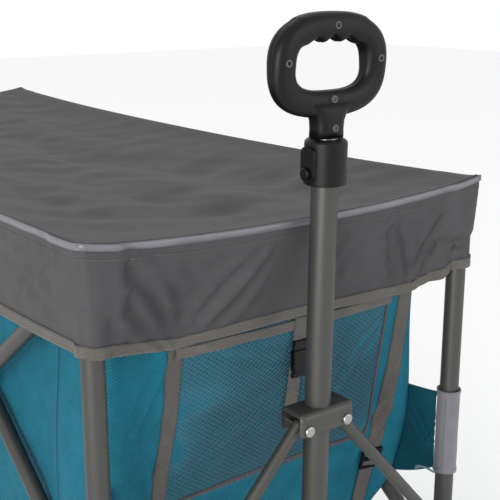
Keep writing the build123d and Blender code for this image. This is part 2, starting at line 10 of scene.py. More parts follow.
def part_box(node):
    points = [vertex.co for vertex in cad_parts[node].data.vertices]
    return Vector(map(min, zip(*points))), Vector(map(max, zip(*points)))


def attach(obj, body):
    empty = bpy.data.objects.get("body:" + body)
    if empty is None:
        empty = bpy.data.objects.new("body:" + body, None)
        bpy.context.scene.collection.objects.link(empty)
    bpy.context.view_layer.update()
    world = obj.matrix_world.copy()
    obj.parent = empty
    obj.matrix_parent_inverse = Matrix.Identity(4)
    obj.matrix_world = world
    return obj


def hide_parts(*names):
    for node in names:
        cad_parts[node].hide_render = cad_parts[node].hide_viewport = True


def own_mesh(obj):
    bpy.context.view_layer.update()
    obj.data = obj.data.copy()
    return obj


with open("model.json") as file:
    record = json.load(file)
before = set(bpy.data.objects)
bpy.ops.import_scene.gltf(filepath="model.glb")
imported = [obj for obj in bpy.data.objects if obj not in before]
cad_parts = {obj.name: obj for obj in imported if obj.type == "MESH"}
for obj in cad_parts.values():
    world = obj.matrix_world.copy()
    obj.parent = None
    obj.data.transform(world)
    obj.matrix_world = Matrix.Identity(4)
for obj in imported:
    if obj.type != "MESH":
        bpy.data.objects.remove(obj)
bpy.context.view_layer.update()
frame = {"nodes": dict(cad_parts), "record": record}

bl_info = {
    "name": "Beach cart",
    "version": (1, 0, 0),
    "blender": (4, 5, 0),
    "location": "3D View > Sidebar > Beach cart",
    "description": "Builds the cloth, webbing, grip, tyres and finishes of a folding beach cart",
    "category": "Add Mesh",
}

MM = 0.001


# ---- places taken from the frame ----------------------------------------------------------------
def node_box(name):
    low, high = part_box(name)
    return Vector(low), Vector(high)


PANEL_LOW, PANEL_HIGH = node_box("front_panel")
POST_R = 10 * MM
FRONT_X = node_box("front_sleeves")[1].x - POST_R
REAR_X = node_box("rear_sleeves")[0].x + POST_R
POST_Y = node_box("front_sleeves")[1].y - POST_R
COVER_Z = node_box("cover")[1].z
MIDDLE_X = (FRONT_X + REAR_X) / 2
BASKET_HALF = PANEL_HIGH.y
BASKET_TOP = PANEL_HIGH.z
BASKET_BOTTOM = PANEL_LOW.z
PANEL_SLOPE = (PANEL_HIGH.x - PANEL_LOW.x - 2 * MM) / (BASKET_TOP - BASKET_BOTTOM)


def linear(code):
    """An sRGB hex value as linear red, green and blue."""
    parts = [int(code[i : i + 2], 16) / 255 for i in (0, 2, 4)]
    return tuple(c / 12.92 if c <= 0.04045 else ((c + 0.055) / 1.055) ** 2.4 for c in parts)


# ---- what a user may change ---------------------------------------------------------------------
def colour(name, description, code):
    return FloatVectorProperty(
        name=name, description=description, subtype="COLOR", size=3, min=0, max=1, default=linear(code)
    )


def length(name, description, default):
    return FloatProperty(
        name=name, description=description, default=default, subtype="DISTANCE", unit="LENGTH"
    )


class CartColours(bpy.types.PropertyGroup):
    steel: colour("Powder coat", "Colour of the coated steel tubes", "3b3b39")
    cover: colour("Cover", "Colour of the coated nylon cover", "404042")
    cloth: colour("Basket cloth", "Colour of the woven basket cloth", "12596c")
    tape: colour("Binding tape", "Colour of the binding tape and straps", "4b4845")
    piping: colour("Reflective strip", "Colour of the strip round the cover's top", "5a5a60")
    cuff: colour("Cuff", "Colour of the cuffs' outer webbing", "5f5f65")
    mesh: colour("Mesh", "Colour of the pocket's net", "485e69")
    plastic: colour("Moulded plastic", "Colour of the grip, collar and buckles", "060607")


class CartSizes(bpy.types.PropertyGroup):
    edge_sag: length("Edge sag", "How far the cover's top edges sag between corners", 9.5 * MM)
    top_sag: length("Top sag", "How far the cover's middle sags", 26 * MM)
    tape_width: length("Tape width", "Width of the binding tape on the hem", 10 * MM)
    strap_width: length("Strap width", "Width of the front webbing straps", 16 * MM)
    net_pitch: length("Net pitch", "Width of one opening of the pocket's net", 6.6 * MM)
    tread_blocks: IntProperty(
        name="Tread blocks", description="Blocks round each tyre", default=40, min=12, max=90
    )


def colours():
    return bpy.context.scene.cart_colours


def sizes():
    return bpy.context.scene.cart_sizes


# ---- materials ----------------------------------------------------------------------------------
# A noise's Scale is its grains per metre, so 2.6 / MM is 2.6 grains to the millimetre.
def feed(tree, node, **inputs):
    """Sets a node's inputs, by name or by number as in0, each to a value or a (node, output)."""
    for name, value in inputs.items():
        key = int(name[2:]) if name.startswith("in") else name.replace("_", " ")
        if isinstance(value, tuple) and isinstance(value[0], bpy.types.Node):
            tree.links.new(value[0].outputs[value[1]], node.inputs[key])
        else:
            node.inputs[key].default_value = value


def add(tree, kind, settings=None, **inputs):
    """Adds a node with its own settings and its inputs."""
    made = tree.nodes.new(kind)
    for name, value in (settings or {}).items():
        setattr(made, name, value)
    feed(tree, made, **inputs)
    return made


def new_material(name):
    """An empty material. Returns it with its tree, its shader and its object coordinates."""
    material = bpy.data.materials.new(name)
    material.use_nodes = True
    tree = material.node_tree
    tree.nodes.clear()
    shader = add(tree, "ShaderNodeBsdfPrincipled")
    add(tree, "ShaderNodeOutputMaterial", Surface=(shader, "BSDF"))
    return material, tree, shader, (add(tree, "ShaderNodeTexCoord"), "Object")


def shaded(rgb, factor):
    """A colour made darker or lighter."""
    return tuple(min(1.0, c * factor) for c in rgb)


def two_tones(rgb, dark, light):
    """The two ends of a Mix node's colours: a colour made darker and lighter."""
    return {"in6": (*shaded(rgb, dark), 1), "in7": (*shaded(rgb, light), 1)}


def powder_coat():
    """Powder-coated steel: a satin metallic grey with a fine orange peel."""
    material, tree, shader, place = new_material("powder_coated_steel")
    flake = add(tree, "ShaderNodeTexNoise", Vector=place, Scale=2.6 / MM, Detail=2.0)
    cloud = add(tree, "ShaderNodeTexNoise", Vector=place, Scale=14.0, Detail=3.0)
    both = add(tree, "ShaderNodeMath", {"operation": "MULTIPLY"}, in0=(flake, "Fac"), in1=(cloud, "Fac"))
    tone = add(tree, "ShaderNodeMix", {"data_type": "RGBA"}, in0=(both, "Value"),
               **two_tones(colours().steel, 0.82, 1.28))
    peel = add(tree, "ShaderNodeTexNoise", Vector=place, Scale=0.7 / MM, Detail=1.0)
    bump = add(tree, "ShaderNodeBump", Height=(peel, "Fac"), Strength=0.12, Distance=0.4 * MM)
    feed(tree, shader, Base_Color=(tone, 2), Normal=(bump, "Normal"), Metallic=0.35, Roughness=0.43)
    return material


def bright_steel():
    """Zinc-plated steel: bright, with a light brushed streak."""
    material, tree, shader, place = new_material("zinc_plated_steel")
    streak = add(tree, "ShaderNodeTexNoise", Vector=place, Scale=0.9 / MM, Detail=3.0)
    tone = add(tree, "ShaderNodeMix", {"data_type": "RGBA"}, in0=(streak, "Fac"), in6=(*linear("80807e"), 1),
               in7=(*linear("b2b2ae"), 1))
    rough = add(tree, "ShaderNodeMapRange", Value=(streak, "Fac"), in3=0.22, in4=0.42)
    feed(tree, shader, Base_Color=(tone, 2), Roughness=(rough, "Result"), Metallic=1.0)
    return material


def moulded_plastic(name, rgb, roughness, grain):
    """Moulded nylon: near black, with the mould's fine spark texture. grain is its size in metres."""
    material, tree, shader, place = new_material(name)
    spark = add(tree, "ShaderNodeTexNoise", Vector=place, Scale=1 / grain, Detail=2.0)
    wear = add(tree, "ShaderNodeTexNoise", Vector=place, Scale=35.0, Detail=4.0)
    tone = add(tree, "ShaderNodeMix", {"data_type": "RGBA"}, in0=(wear, "Fac"), **two_tones(rgb, 0.75, 1.35))
    rough = add(tree, "ShaderNodeMapRange", Value=(wear, "Fac"), in3=roughness - 0.07, in4=roughness + 0.08)
    bump = add(tree, "ShaderNodeBump", Height=(spark, "Fac"), Strength=0.25, Distance=0.3 * MM)
    feed(tree, shader, Base_Color=(tone, 2), Roughness=(rough, "Result"), Normal=(bump, "Normal"),
         Specular_IOR_Level=0.2)
    return material


def tyre_rubber():
    """Moulded rubber: matt, with dust in its fine pores."""
    material, tree, shader, place = new_material("moulded_rubber")
    dust = add(tree, "ShaderNodeTexNoise", Vector=place, Scale=60.0, Detail=5.0)
    pores = add(tree, "ShaderNodeTexNoise", Vector=place, Scale=1.5 / MM, Detail=1.0)
    tone = add(tree, "ShaderNodeMix", {"data_type": "RGBA"}, in0=(dust, "Fac"), in6=(*linear("161616"), 1),
               in7=(*linear("2b2a29"), 1))
    bump = add(tree, "ShaderNodeBump", Height=(pores, "Fac"), Strength=0.3, Distance=0.4 * MM)
    feed(tree, shader, Base_Color=(tone, 2), Normal=(bump, "Normal"), Roughness=0.78)
    return material


def threads(tree, spacing):
    """Two crossed sets of threads on the flat map, as one height from -1 to 1. spacing is in metres."""
    flat = add(tree, "ShaderNodeUVMap", {"uv_map": "UVMap"})
    split = add(tree, "ShaderNodeSeparateXYZ", in0=(flat, "UV"))
    waves = []
    for axis, gap in zip("XY", spacing):
        turns = add(tree, "ShaderNodeMath", {"operation": "MULTIPLY"}, in0=(split, axis), in1=math.pi / gap)
        waves.append((add(tree, "ShaderNodeMath", {"operation": "SINE"}, in0=(turns, "Value")), "Value"))
    return add(tree, "ShaderNodeMath", {"operation": "MULTIPLY"}, in0=waves[0], in1=waves[1]), "Value"


def woven(name, rgb, spacing, roughness, sheen=0.0, contrast=0.2, bump=0.4, specular=0.3, mottle=0.12):
    """Woven cloth: crossed threads on the piece's flat map, and the faint unevenness of dyed cloth.

    spacing is across and along the piece in metres, a little coarser than real threads so that it shows.
    """
    material, tree, shader, place = new_material(name)
    cross = threads(tree, spacing)
    cloud = add(tree, "ShaderNodeTexNoise", Vector=place, Scale=38.0, Detail=5.0)
    fibre = add(tree, "ShaderNodeTexNoise", Vector=place, Scale=0.9 / MM, Detail=2.0)
    weave = add(tree, "ShaderNodeMapRange", in0=cross, in1=-1.0, in2=1.0, in3=-contrast, in4=contrast)
    dye = add(tree, "ShaderNodeMapRange", in0=(cloud, "Fac"), in1=0.3, in2=0.7, in3=1 - mottle,
              in4=1 + mottle)
    fuzz = add(tree, "ShaderNodeMapRange", in0=(fibre, "Fac"), in1=0.3, in2=0.7, in3=-0.5 * contrast,
               in4=0.5 * contrast)
    light = add(tree, "ShaderNodeMath", {"operation": "ADD"}, in0=(weave, "Result"), in1=(dye, "Result"))
    light = add(tree, "ShaderNodeMath", {"operation": "ADD"}, in0=(light, "Value"), in1=(fuzz, "Result"))
    tint = add(tree, "ShaderNodeVectorMath", {"operation": "SCALE"}, in0=tuple(rgb), Scale=(light, "Value"))
    relief = add(tree, "ShaderNodeBump", Height=cross, Strength=bump, Distance=spacing[0] * 0.35)
    feed(tree, shader, Base_Color=(tint, "Vector"), Normal=(relief, "Normal"), Roughness=roughness,
         Sheen_Weight=sheen, Specular_IOR_Level=specular)
    return material


def coated_nylon(rgb):
    """Coated nylon taffeta: a fine weave with a soft sheen, lightly creased from being folded away."""
    material, tree, shader, place = new_material("coated_nylon_taffeta")
    cross = threads(tree, (0.9 * MM, 0.9 * MM))
    crease = add(tree, "ShaderNodeTexNoise", {"noise_type": "RIDGED_MULTIFRACTAL"}, Vector=place, Scale=9.0,
                 Detail=4.0)
    soft = add(tree, "ShaderNodeTexNoise", Vector=place, Scale=60.0, Detail=3.0)
    height = add(tree, "ShaderNodeMapRange", in0=(crease, "Fac"), in1=0.0, in2=2.0, in3=0.0, in4=2.3 * MM)
    fine = add(tree, "ShaderNodeMapRange", in0=(soft, "Fac"), in1=0.0, in2=1.0, in3=0.0, in4=1.1 * MM)
    weave = add(tree, "ShaderNodeMapRange", in0=cross, in1=-1.0, in2=1.0, in3=0.0, in4=0.08 * MM)
    total = add(tree, "ShaderNodeMath", {"operation": "ADD"}, in0=(height, "Result"), in1=(fine, "Result"))
    total = add(tree, "ShaderNodeMath", {"operation": "ADD"}, in0=(total, "Value"), in1=(weave, "Result"))
    relief = add(tree, "ShaderNodeBump", Height=(total, "Value"), Strength=0.6, Distance=1.0)
    dye = add(tree, "ShaderNodeMapRange", in0=(soft, "Fac"), in1=0.3, in2=0.7, in3=0.94, in4=1.07)
    tint = add(tree, "ShaderNodeVectorMath", {"operation": "SCALE"}, in0=tuple(rgb), Scale=(dye, "Result"))
    feed(tree, shader, Base_Color=(tint, "Vector"), Normal=(relief, "Normal"), Roughness=0.52,
         Specular_IOR_Level=0.1)
    return material


def plain_cloth(name, rgb, roughness, specular):
    """Dyed yarn on a piece too fine for a drawn weave: fibres and a faint unevenness only."""
    material, tree, shader, place = new_material(name)
    fibre = add(tree, "ShaderNodeTexNoise", Vector=place, Scale=1.2 / MM, Detail=2.0)
    tone = add(tree, "ShaderNodeMix", {"data_type": "RGBA"}, in0=(fibre, "Fac"), **two_tones(rgb, 0.6, 1.4))
    relief = add(tree, "ShaderNodeBump", Height=(fibre, "Fac"), Strength=0.4, Distance=0.3 * MM)
    feed(tree, shader, Base_Color=(tone, 2), Normal=(relief, "Normal"), Roughness=roughness,
         Specular_IOR_Level=specular)
    return material


def finishes():
    """Every material of the cart, by the record's slot or the piece that wears it."""
    c = colours()
    cloth, tape = tuple(c.cloth), tuple(c.tape)
    return {
        "powder_coated_steel": powder_coat(),
        "bright_steel": bright_steel(),
        "black_plastic": moulded_plastic("moulded_nylon", tuple(c.plastic), 0.42, 0.6 * MM),
        "screw_black": moulded_plastic("blackened_screw", linear("414143"), 0.3, 0.5 * MM),
        "hub_plastic": moulded_plastic("moulded_hub_plastic", linear("232425"), 0.5, 0.8 * MM),
        "tyre_rubber": tyre_rubber(),
        "grey_cover_fabric": coated_nylon(tuple(c.cover)),
        "teal_fabric": woven("woven_polyester_canvas", cloth, (1.7 * MM, 1.7 * MM), 0.75, 0.0, 0.26, 0.5,
                             0.15),
        # a dark navy sheet behind the net in place of the basket cloth: painted shade that the net casts
        "pocket_back": woven("pocket_backing", linear("10293a"), (1.8 * MM, 1.8 * MM), 0.8, 0.0, 0.3, 0.4),
        # the basket cloth darkened to 0.42 of its colour: painted shade on the cuffs' flaps
        "teal_painted_shade": woven("canvas_painted_shade", shaded(cloth, 0.42), (1.3 * MM, 1.3 * MM), 0.7, 0.0,
                             0.15, 0.3, 0.08),
        "taupe_webbing": woven("polyester_webbing", tape, (2.2 * MM, 1.3 * MM), 0.8, 0.1, 0.3, 0.7),
        "binding_tape": woven("grosgrain_tape", tape, (1.1 * MM, 4 * MM), 0.75, 0.1, 0.2, 0.5),
        "grey_cuff_webbing": woven("cuff_webbing", tuple(c.cuff), (1.2 * MM, 1.2 * MM), 0.6, 0.2, 0.12, 0.3),
        "mesh_fabric": plain_cloth("knitted_net", tuple(c.mesh), 0.6, 0.35),
        "reflective": woven("reflective_strip", tuple(c.piping), (MM, MM), 0.35, 0.0, 0.06, 0.15, 0.6),
        "stitching": plain_cloth("sewing_thread", linear("5f5f5d"), 0.8, 0.2),
        "dark_edge": woven("dark_edge_tape", linear("41363a"), (1.1 * MM, 3 * MM), 0.85, 0.1, 0.2, 0.4),
    }


MATERIALS = {}


# ---- mesh helpers -------------------------------------------------------------------------------
def finish_piece(name, bm, finish, body, replaces=(), smooth=True):
    """Turns a bmesh into a finished piece that rides on a body."""
    mesh = bpy.data.meshes.new(name)
    bm.to_mesh(mesh)
    bm.free()
    piece = bpy.data.objects.new(name, mesh)
    bpy.context.scene.collection.objects.link(piece)
    mesh.materials.append(MATERIALS[finish])
    if smooth:
        mesh.polygons.foreach_set("use_smooth", [True] * len(mesh.polygons))
    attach(piece, body)
    if replaces:
        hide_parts(*replaces)
    return piece


def sheet_grid(columns, rows, place, uv_size, wrap=False):
    """A sheet of cloth: a bmesh grid whose points place(u, v) puts in space, u and v from 0 to 1.

    uv_size is the flat size in metres, kept as the flat map for the weave.
    """
    bm = bmesh.new()
    bmesh.ops.create_grid(bm, x_segments=columns, y_segments=rows, size=0.5)
    layer = bm.loops.layers.uv.new("UVMap")
    for face in bm.faces:
        for loop in face.loops:
            u, v = loop.vert.co.x + 0.5, loop.vert.co.y + 0.5
            loop[layer].uv = (u * uv_size[0], v * uv_size[1])
    for vert in bm.verts:
        vert.co = place(vert.co.x + 0.5, vert.co.y + 0.5)
    if wrap:
        bmesh.ops.remove_doubles(bm, verts=bm.verts, dist=1e-5)
    bmesh.ops.recalc_face_normals(bm, faces=bm.faces)
    return bm


def apply_modifiers(piece):
    """Fixes a piece's modifiers into its mesh."""
    bpy.context.view_layer.update()
    graph = bpy.context.evaluated_depsgraph_get()
    held = piece.evaluated_get(graph)
    mesh = bpy.data.meshes.new_from_object(held, preserve_all_data_layers=True, depsgraph=graph)
    piece.modifiers.clear()
    piece.data = mesh


def thickened(piece, thickness, offset=0.0):
    """Gives a piece its cloth's thickness: centred at offset 0, or to one side at -1 and 1."""
    made = piece.modifiers.new("cloth", "SOLIDIFY")
    made.thickness = thickness
    made.offset = offset
    apply_modifiers(piece)
    return piece


def smoothstep(t):
    t = max(0.0, min(1.0, t))
    return t * t * (3 - 2 * t)


def bell(distance, width):
    return math.exp(-((distance / width) ** 2))


def band(p, start, end, width, folds, depth):
    """Height of the folds that pull along a line in a cloth, closing up at both ends of the line.

    p, start and end are 2-D points on the cloth. width is the half width of the folded band.
    """
    along = Vector(end) - Vector(start)
    reach = along.length
    along /= reach
    offset = Vector(p) - Vector(start)
    a = offset.dot(along) / reach
    if a < -0.12 or a > 1.12:
        return 0.0
    b = offset.x * along.y - offset.y * along.x
    swell = 0.22 + 0.78 * math.sin(math.pi * max(0.0, min(1.0, a)))
    b /= width * swell
    fade = smoothstep((a + 0.12) / 0.2) * smoothstep((1.12 - a) / 0.2)
    return depth * swell * fade * math.cos(math.pi * folds * b) * math.exp(-b * b)


def soft_max(a, b, blend):
    """The larger of two lengths, with the change between them rounded over a blend length."""
    if a - b > blend:
        return a
    if b - a > blend:
        return b
    return (a + b) / 2 + blend / 4 + (a - b) ** 2 / (4 * blend)


def along_line(value, stops):
    """A value read off straight lines between (position, value) stops."""
    if value <= stops[0][0]:
        return stops[0][1]
    for (a, low), (b, high) in zip(stops, stops[1:]):
        if value <= b:
            return low + (high - low) * (value - a) / (b - a)
    return stops[-1][1]


# ---- the cover's shape --------------------------------------------------------------------------
COVER_REACH = 11.5 * MM
COVER_FRONT = FRONT_X + COVER_REACH
COVER_REAR = REAR_X - COVER_REACH
COVER_HALF = POST_Y + COVER_REACH
HEM_DROP = 95 * MM
POST_CLEAR = 12.8 * MM
FOLD_OUT = 14.2 * MM  # how far outside the posts, passed to fold_with_cart
RIGHT_STRAP, LEFT_STRAP = -118, 163  # where the front straps are sewn, across the cart in mm
END_BRACKET_Z = 530 * MM
SIDE_BRACKET_Z = 522 * MM
PIVOT_Z = 560 * MM

# hem of the end valances: across, how far in from the post axis, height under the top
HEM_IN = ((-223, -11.0), (-208, -9.0), (-118, 24.0), (17, 20.0), (163, 19.0), (206, 0.0), (223, -10.5))
HEM_Z = ((-223, 91), (-208, 93), (-118, 116), (17, 113), (163, 117), (206, 93), (223, 91))

# bands of folds: from, to, half width, number of folds and height, in mm across and up from the top edge
END_FOLDS = (
    ((-221, 0), (-118, -112), 34, 2.8, 4.2),
    ((-200, -4), (-70, -66), 22, 2.0, 2.6),
    ((-118, -112), (-30, -12), 30, 2.4, 2.8),
    ((-190, -84), (-118, -112), 12, 2.2, 2.2),
    ((221, 0), (163, -114), 26, 3.4, 6.4),
    ((214, -40), (163, -114), 16, 2.6, 3.4),
    ((163, -114), (100, -10), 26, 2.6, 3.6),
    ((-118, -112), (17, -96), 22, 2.2, 2.4),
    ((163, -114), (30, -92), 22, 2.2, 2.6),
    ((10, -104), (60, -20), 26, 2.2, 1.8),
)
SIDE_FOLDS = (
    ((2, 0), (150, -96), 36, 2.8, 4.2),
    ((30, -92), (190, -30), 32, 2.2, 2.6),
)


def fold_sum(p, bands):
    """Height of several bands of folds at a point."""
    return sum(band(p, *row) for row in bands)


def uneven(x, y, z):
    """Smooth unevenness from about -1 to 1, the same on every run."""
    return noise.noise(Vector((x, y, z)))


def edge_sag(t, power=2.2):
    """How much of its full sag a top edge has at t, from -1 to 1 along the edge."""
    return 1 - min(1.0, abs(t)) ** power


def taut(f):
    """Share of a fold's height left at f of a valance's drop: the hem tape holds the lower edge straight."""
    return 1 - 0.8 * smoothstep((f - 0.74) / 0.2)


def long_t(x):
    return (2 * x - COVER_FRONT - COVER_REAR) / (COVER_FRONT - COVER_REAR)


def top_height(x, y):
    """Height of the cover's top: edges that sag between the corners, a sagging middle and soft folds."""
    s = sizes()
    t, v = long_t(x), y / COVER_HALF
    across = 0.4 + 0.6 * smoothstep((v + 1) / 2)
    long_edge = s.edge_sag * across * edge_sag(t)
    end_edge = s.edge_sag * edge_sag(v)
    inner = s.top_sag * edge_sag(t, 6) * edge_sag(v, 2.6)
    near_end = abs(t) ** 9
    fade = edge_sag(t, 12) * edge_sag(v, 7)
    fold = 8.0 * MM * uneven(x * 3.2, y * 15, 1.7)
    fold += 5.5 * MM * uneven(x * 19, y * 5, 9.1) * smoothstep((t - 0.1) / 0.7)
    fold += 2.2 * MM * uneven(x * 26, y * 30, 4.4)
    middle = long_edge * (1 - near_end) * (abs(v) ** 3 * 0.5 + 0.5) + inner
    peak = 3.2 * MM * abs(t) ** 60 * abs(v) ** 20
    return COVER_Z - middle - end_edge * near_end * (1 - abs(v) ** 12) + fold * fade + peak


def end_valance(x, y, drop):
    """A point of the front or rear valance, drop under its top edge. The two straps pinch it in."""
    way = 1 if x > MIDDLE_X else -1
    post = FRONT_X if way > 0 else REAR_X
    top = top_height(x, y)
    ym = y / MM
    f = drop / HEM_DROP
    hem_z = COVER_Z - along_line(ym, HEM_Z) * MM
    hem_in = along_line(ym, HEM_IN) * MM
    z = top + (hem_z - top) * f
    out = COVER_REACH + (-hem_in - COVER_REACH) * f ** 1.15
    out += 5 * MM * math.sin(math.pi * f) * bell(abs(ym) - 60, 60) * 0.6
    p = (ym, -f * 104)
    fold = fold_sum(p, END_FOLDS)
    for strap in (RIGHT_STRAP, LEFT_STRAP):
        fold += 1.2 * math.cos((ym - strap) * 0.36) * bell(ym - strap, 19) * f ** 3
    fold += 1.8 * uneven(y * 20, f * 1.6, 3.3 * way) * math.sin(math.pi * min(1, f * 0.8))
    fold += 0.8 * uneven(y * 55, f * 4.0, 8.3 * way) * f
    near_post = smoothstep((COVER_HALF - abs(y)) / (16 * MM))
    out += 1.35 * fold * MM * near_post * min(1.0, f * 6) * taut(f)
    over_bracket = 14.2 * MM - (1 - smoothstep((abs(ym) - 172) / 18)) * 30 * MM
    over_bracket -= (1 - smoothstep((z - END_BRACKET_Z) / (16 * MM))) * 12 * MM
    return Vector((post + way * soft_max(out, over_bracket, 3 * MM), y, z))


def side_valance(x, y, drop):
    """A point of a long valance, drop under its top edge."""
    way = 1 if y > 0 else -1
    top = top_height(x, y)
    t = long_t(x)
    f = drop / HEM_DROP
    hem_z = COVER_Z - (90 + 11 * edge_sag(t, 5)) * MM
    inward = (2 + 9 * edge_sag(t, 4)) * MM
    z = top + (hem_z - top) * f
    from_front = (COVER_FRONT - x) / MM
    from_rear = (x - COVER_REAR) / MM
    fold = sum(fold_sum((d, -f * 98), SIDE_FOLDS) for d in (from_front, from_rear))
    fold += 2.4 * uneven(x * 13, f * 0.9, 7.7 * way) * f
    near = min(from_front, from_rear)
    fold *= smoothstep(near / 16) * min(1.0, f * 6) * taut(f)
    side = COVER_HALF - inward * f ** 1.2 + fold * MM
    side = soft_max(side, COVER_HALF - 3.2 * MM, 3 * MM)
    over_bracket = COVER_HALF + 1.2 * MM - smoothstep((near - 50) / 22) * 30 * MM
    over_bracket -= (1 - smoothstep((z - SIDE_BRACKET_Z) / (18 * MM))) * 12 * MM
    over_pivot = COVER_HALF + 2.2 * MM - smoothstep((abs(x - MIDDLE_X) / MM - 14) / 40) * 30 * MM
    over_pivot -= smoothstep((abs(z - PIVOT_Z) / MM - 16) / 22) * 12 * MM
    side = soft_max(soft_max(side, over_bracket, 3 * MM), over_pivot, 4 * MM)
    return Vector((x, way * side, z))


def rounded_corner(p, x, y, drop, out):
    """Rounds the cover's upright corners, more towards the hem, and keeps them clear of the post inside."""
    radius = (2 + 11 * smoothstep(drop / HEM_DROP)) * MM
    end = COVER_FRONT if x > MIDDLE_X else COVER_REAR
    way_x, way_y = (1 if x > MIDDLE_X else -1), (1 if y > 0 else -1)
    dx, dy = abs(end - x), COVER_HALF - abs(y)
    if dx < radius and dy < radius:
        across = Vector((radius - dx, radius - dy))
        pull = across * (radius / max(across.length, 1e-9) - 1)
        if across.length > radius:
            p.x += way_x * pull.x
            p.y += way_y * pull.y
    post = Vector(((FRONT_X if x > MIDDLE_X else REAR_X), way_y * POST_Y))
    away = Vector((p.x, p.y)) - post
    clear = POST_CLEAR + out
    if drop > 0 and away.length < clear:
        away *= clear / away.length
        p.x, p.y = post.x + away.x, post.y + away.y
    return p


def cover_point(x, y, drop=0.0, out=0.0):
    """Where a point of the flat cover goes: x, y on its top, drop down a valance, out off the cloth."""
    if drop <= 0:
        return rounded_corner(Vector((x, y, top_height(x, y) + out)), x, y, 0, out)
    at_end = min(abs(x - COVER_FRONT), abs(x - COVER_REAR)) < 1e-5
    at_side = abs(abs(y) - COVER_HALF) < 1e-5
    if at_end and at_side:
        p = (end_valance(x, y, drop) + side_valance(x, y, drop)) / 2
        p.x = end_valance(x, y, drop).x
        p.y = side_valance(x, y, drop).y
        p += Vector((out if x > MIDDLE_X else -out, out if y > 0 else -out, 0))
    elif at_end:
        p = end_valance(x, y, drop) + Vector((out if x > MIDDLE_X else -out, 0, 0))
    else:
        p = side_valance(x, y, drop) + Vector((0, out if y > 0 else -out, 0))
    return rounded_corner(p, x, y, drop, out)


def cover_outline(step):
    """The closed outline of the cover's top as flat (x, y) points, step apart."""
    corners = [(COVER_REAR, -COVER_HALF), (COVER_FRONT, -COVER_HALF), (COVER_FRONT, COVER_HALF),
               (COVER_REAR, COVER_HALF)]
    points = []
    for a, b in zip(corners, corners[1:] + corners[:1]):
        span = Vector(b) - Vector(a)
        count = max(2, round(span.length / step))
        points += [(a[0] + span.x * i / count, a[1] + span.y * i / count) for i in range(count)]
    return points + points[:1]


def cover_strip(name, low, high, out, thickness, finish, rows=2, step=5 * MM):
    """A closed strip sewn round the cover, from low to high drop under the edge."""
    outline = cover_outline(step)
    last = len(outline) - 1

    def place(u, v):
        x, y = outline[min(last, int(round(v * last)))]
        return cover_point(x, y, max(1e-6, low + (high - low) * u), out)

    bm = sheet_grid(rows, last, place, (high - low, last * step), wrap=True)
    piece = thickened(finish_piece(name, bm, finish, "cover"), thickness)
    fold_with_cart(piece)
    return piece


def fold_with_cart(piece, rear=REAR_X - FOLD_OUT, front=FRONT_X + FOLD_OUT):
    """Gives a piece a mesh of its own. rear and front are not used."""
    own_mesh(piece)


def stitches(name, places, body):
    """A row of stitches: small threads laid along a line of points, proud of the cloth under it."""
    stitch, gap, thread = 3.0 * MM, 1.4 * MM, 0.35 * MM
    bm = bmesh.new()
    run = 0.0
    for a, b in zip(places, places[1:]):
        span = b - a
        if span.length < 1e-6:
            continue
        turn = span.to_track_quat("X", "Z").to_matrix().to_4x4()
        while run < span.length:
            middle = a + span * (run / span.length)
            size = Matrix.Diagonal((stitch, thread, thread, 1))
            bmesh.ops.create_cube(bm, size=1, matrix=Matrix.Translation(middle) @ turn @ size)
            run += stitch + gap
        run -= span.length
    return finish_piece(name, bm, "stitching", body, smooth=False)


def flat_cover(rows):
    """The cover as cut, with its valance hanging straight down in rows and its flat map."""
    step = 5.6 * MM
    span_x, span_y = COVER_FRONT - COVER_REAR, 2 * COVER_HALF
    bm = bmesh.new()
    bmesh.ops.create_grid(bm, x_segments=round(span_x / step), y_segments=round(span_y / step), size=0.5)
    for vert in bm.verts:
        vert.co = (COVER_REAR + (vert.co.x + 0.5) * span_x, vert.co.y * span_y, 0)
    edge = [e for e in bm.edges if e.is_boundary]
    for _ in range(rows):
        made = bmesh.ops.extrude_edge_only(bm, edges=edge)["geom"]
        edge = [e for e in made if isinstance(e, bmesh.types.BMEdge) and e.is_boundary]
        lowered = [v for v in made if isinstance(v, bmesh.types.BMVert)]
        bmesh.ops.translate(bm, verts=lowered, vec=(0, 0, -HEM_DROP / rows))
    bmesh.ops.recalc_face_normals(bm, faces=bm.faces)
    layer = bm.loops.layers.uv.new("UVMap")
    for face in bm.faces:
        for loop in face.loops:
            c = loop.vert.co
            loop[layer].uv = (c.x - c.z * face.normal.x, c.y - c.z * face.normal.y)
    return bm


class CART_OT_cover(bpy.types.Operator):
    """Build the cover as one sheet with its valance, edge strip, hem tape and stitching"""

    bl_idname = "cart.cover"
    bl_label = "Cover"

    def execute(self, context):
        tape_width = sizes().tape_width
        bm = flat_cover(18)
        for vert in bm.verts:
            c = vert.co.copy()
            vert.co = cover_point(c.x, c.y, -c.z)
        if sum(f.normal.z for f in bm.faces) < 0:
            bmesh.ops.reverse_faces(bm, faces=bm.faces)
        cover = finish_piece("cover_cloth", bm, "grey_cover_fabric", "cover", ["cover"])
        fold_with_cart(thickened(cover, 0.8 * MM, -1.0))
        piping = cover_strip("cover_reflective_strip", 0.2 * MM, 6.0 * MM, 0.7 * MM, 1.1 * MM, "reflective")
        tape = cover_strip("cover_hem_tape", HEM_DROP - tape_width, HEM_DROP + 0.3 * MM, 0.7 * MM, 1.4 * MM,
                           "binding_tape", 4, 2.6 * MM)
        for label, drop, out in (("edge", 13 * MM, 0.5 * MM),
                                 ("hem_upper", HEM_DROP - tape_width + 1.6 * MM, 1.5 * MM),
                                 ("hem_lower", HEM_DROP - 2.0 * MM, 1.5 * MM)):
            line = [cover_point(x, y, drop, out) for x, y in cover_outline(4 * MM)]
            row = stitches(f"cover_stitches_{label}", line, "cover")
            fold_with_cart(row)
        return {"FINISHED"}


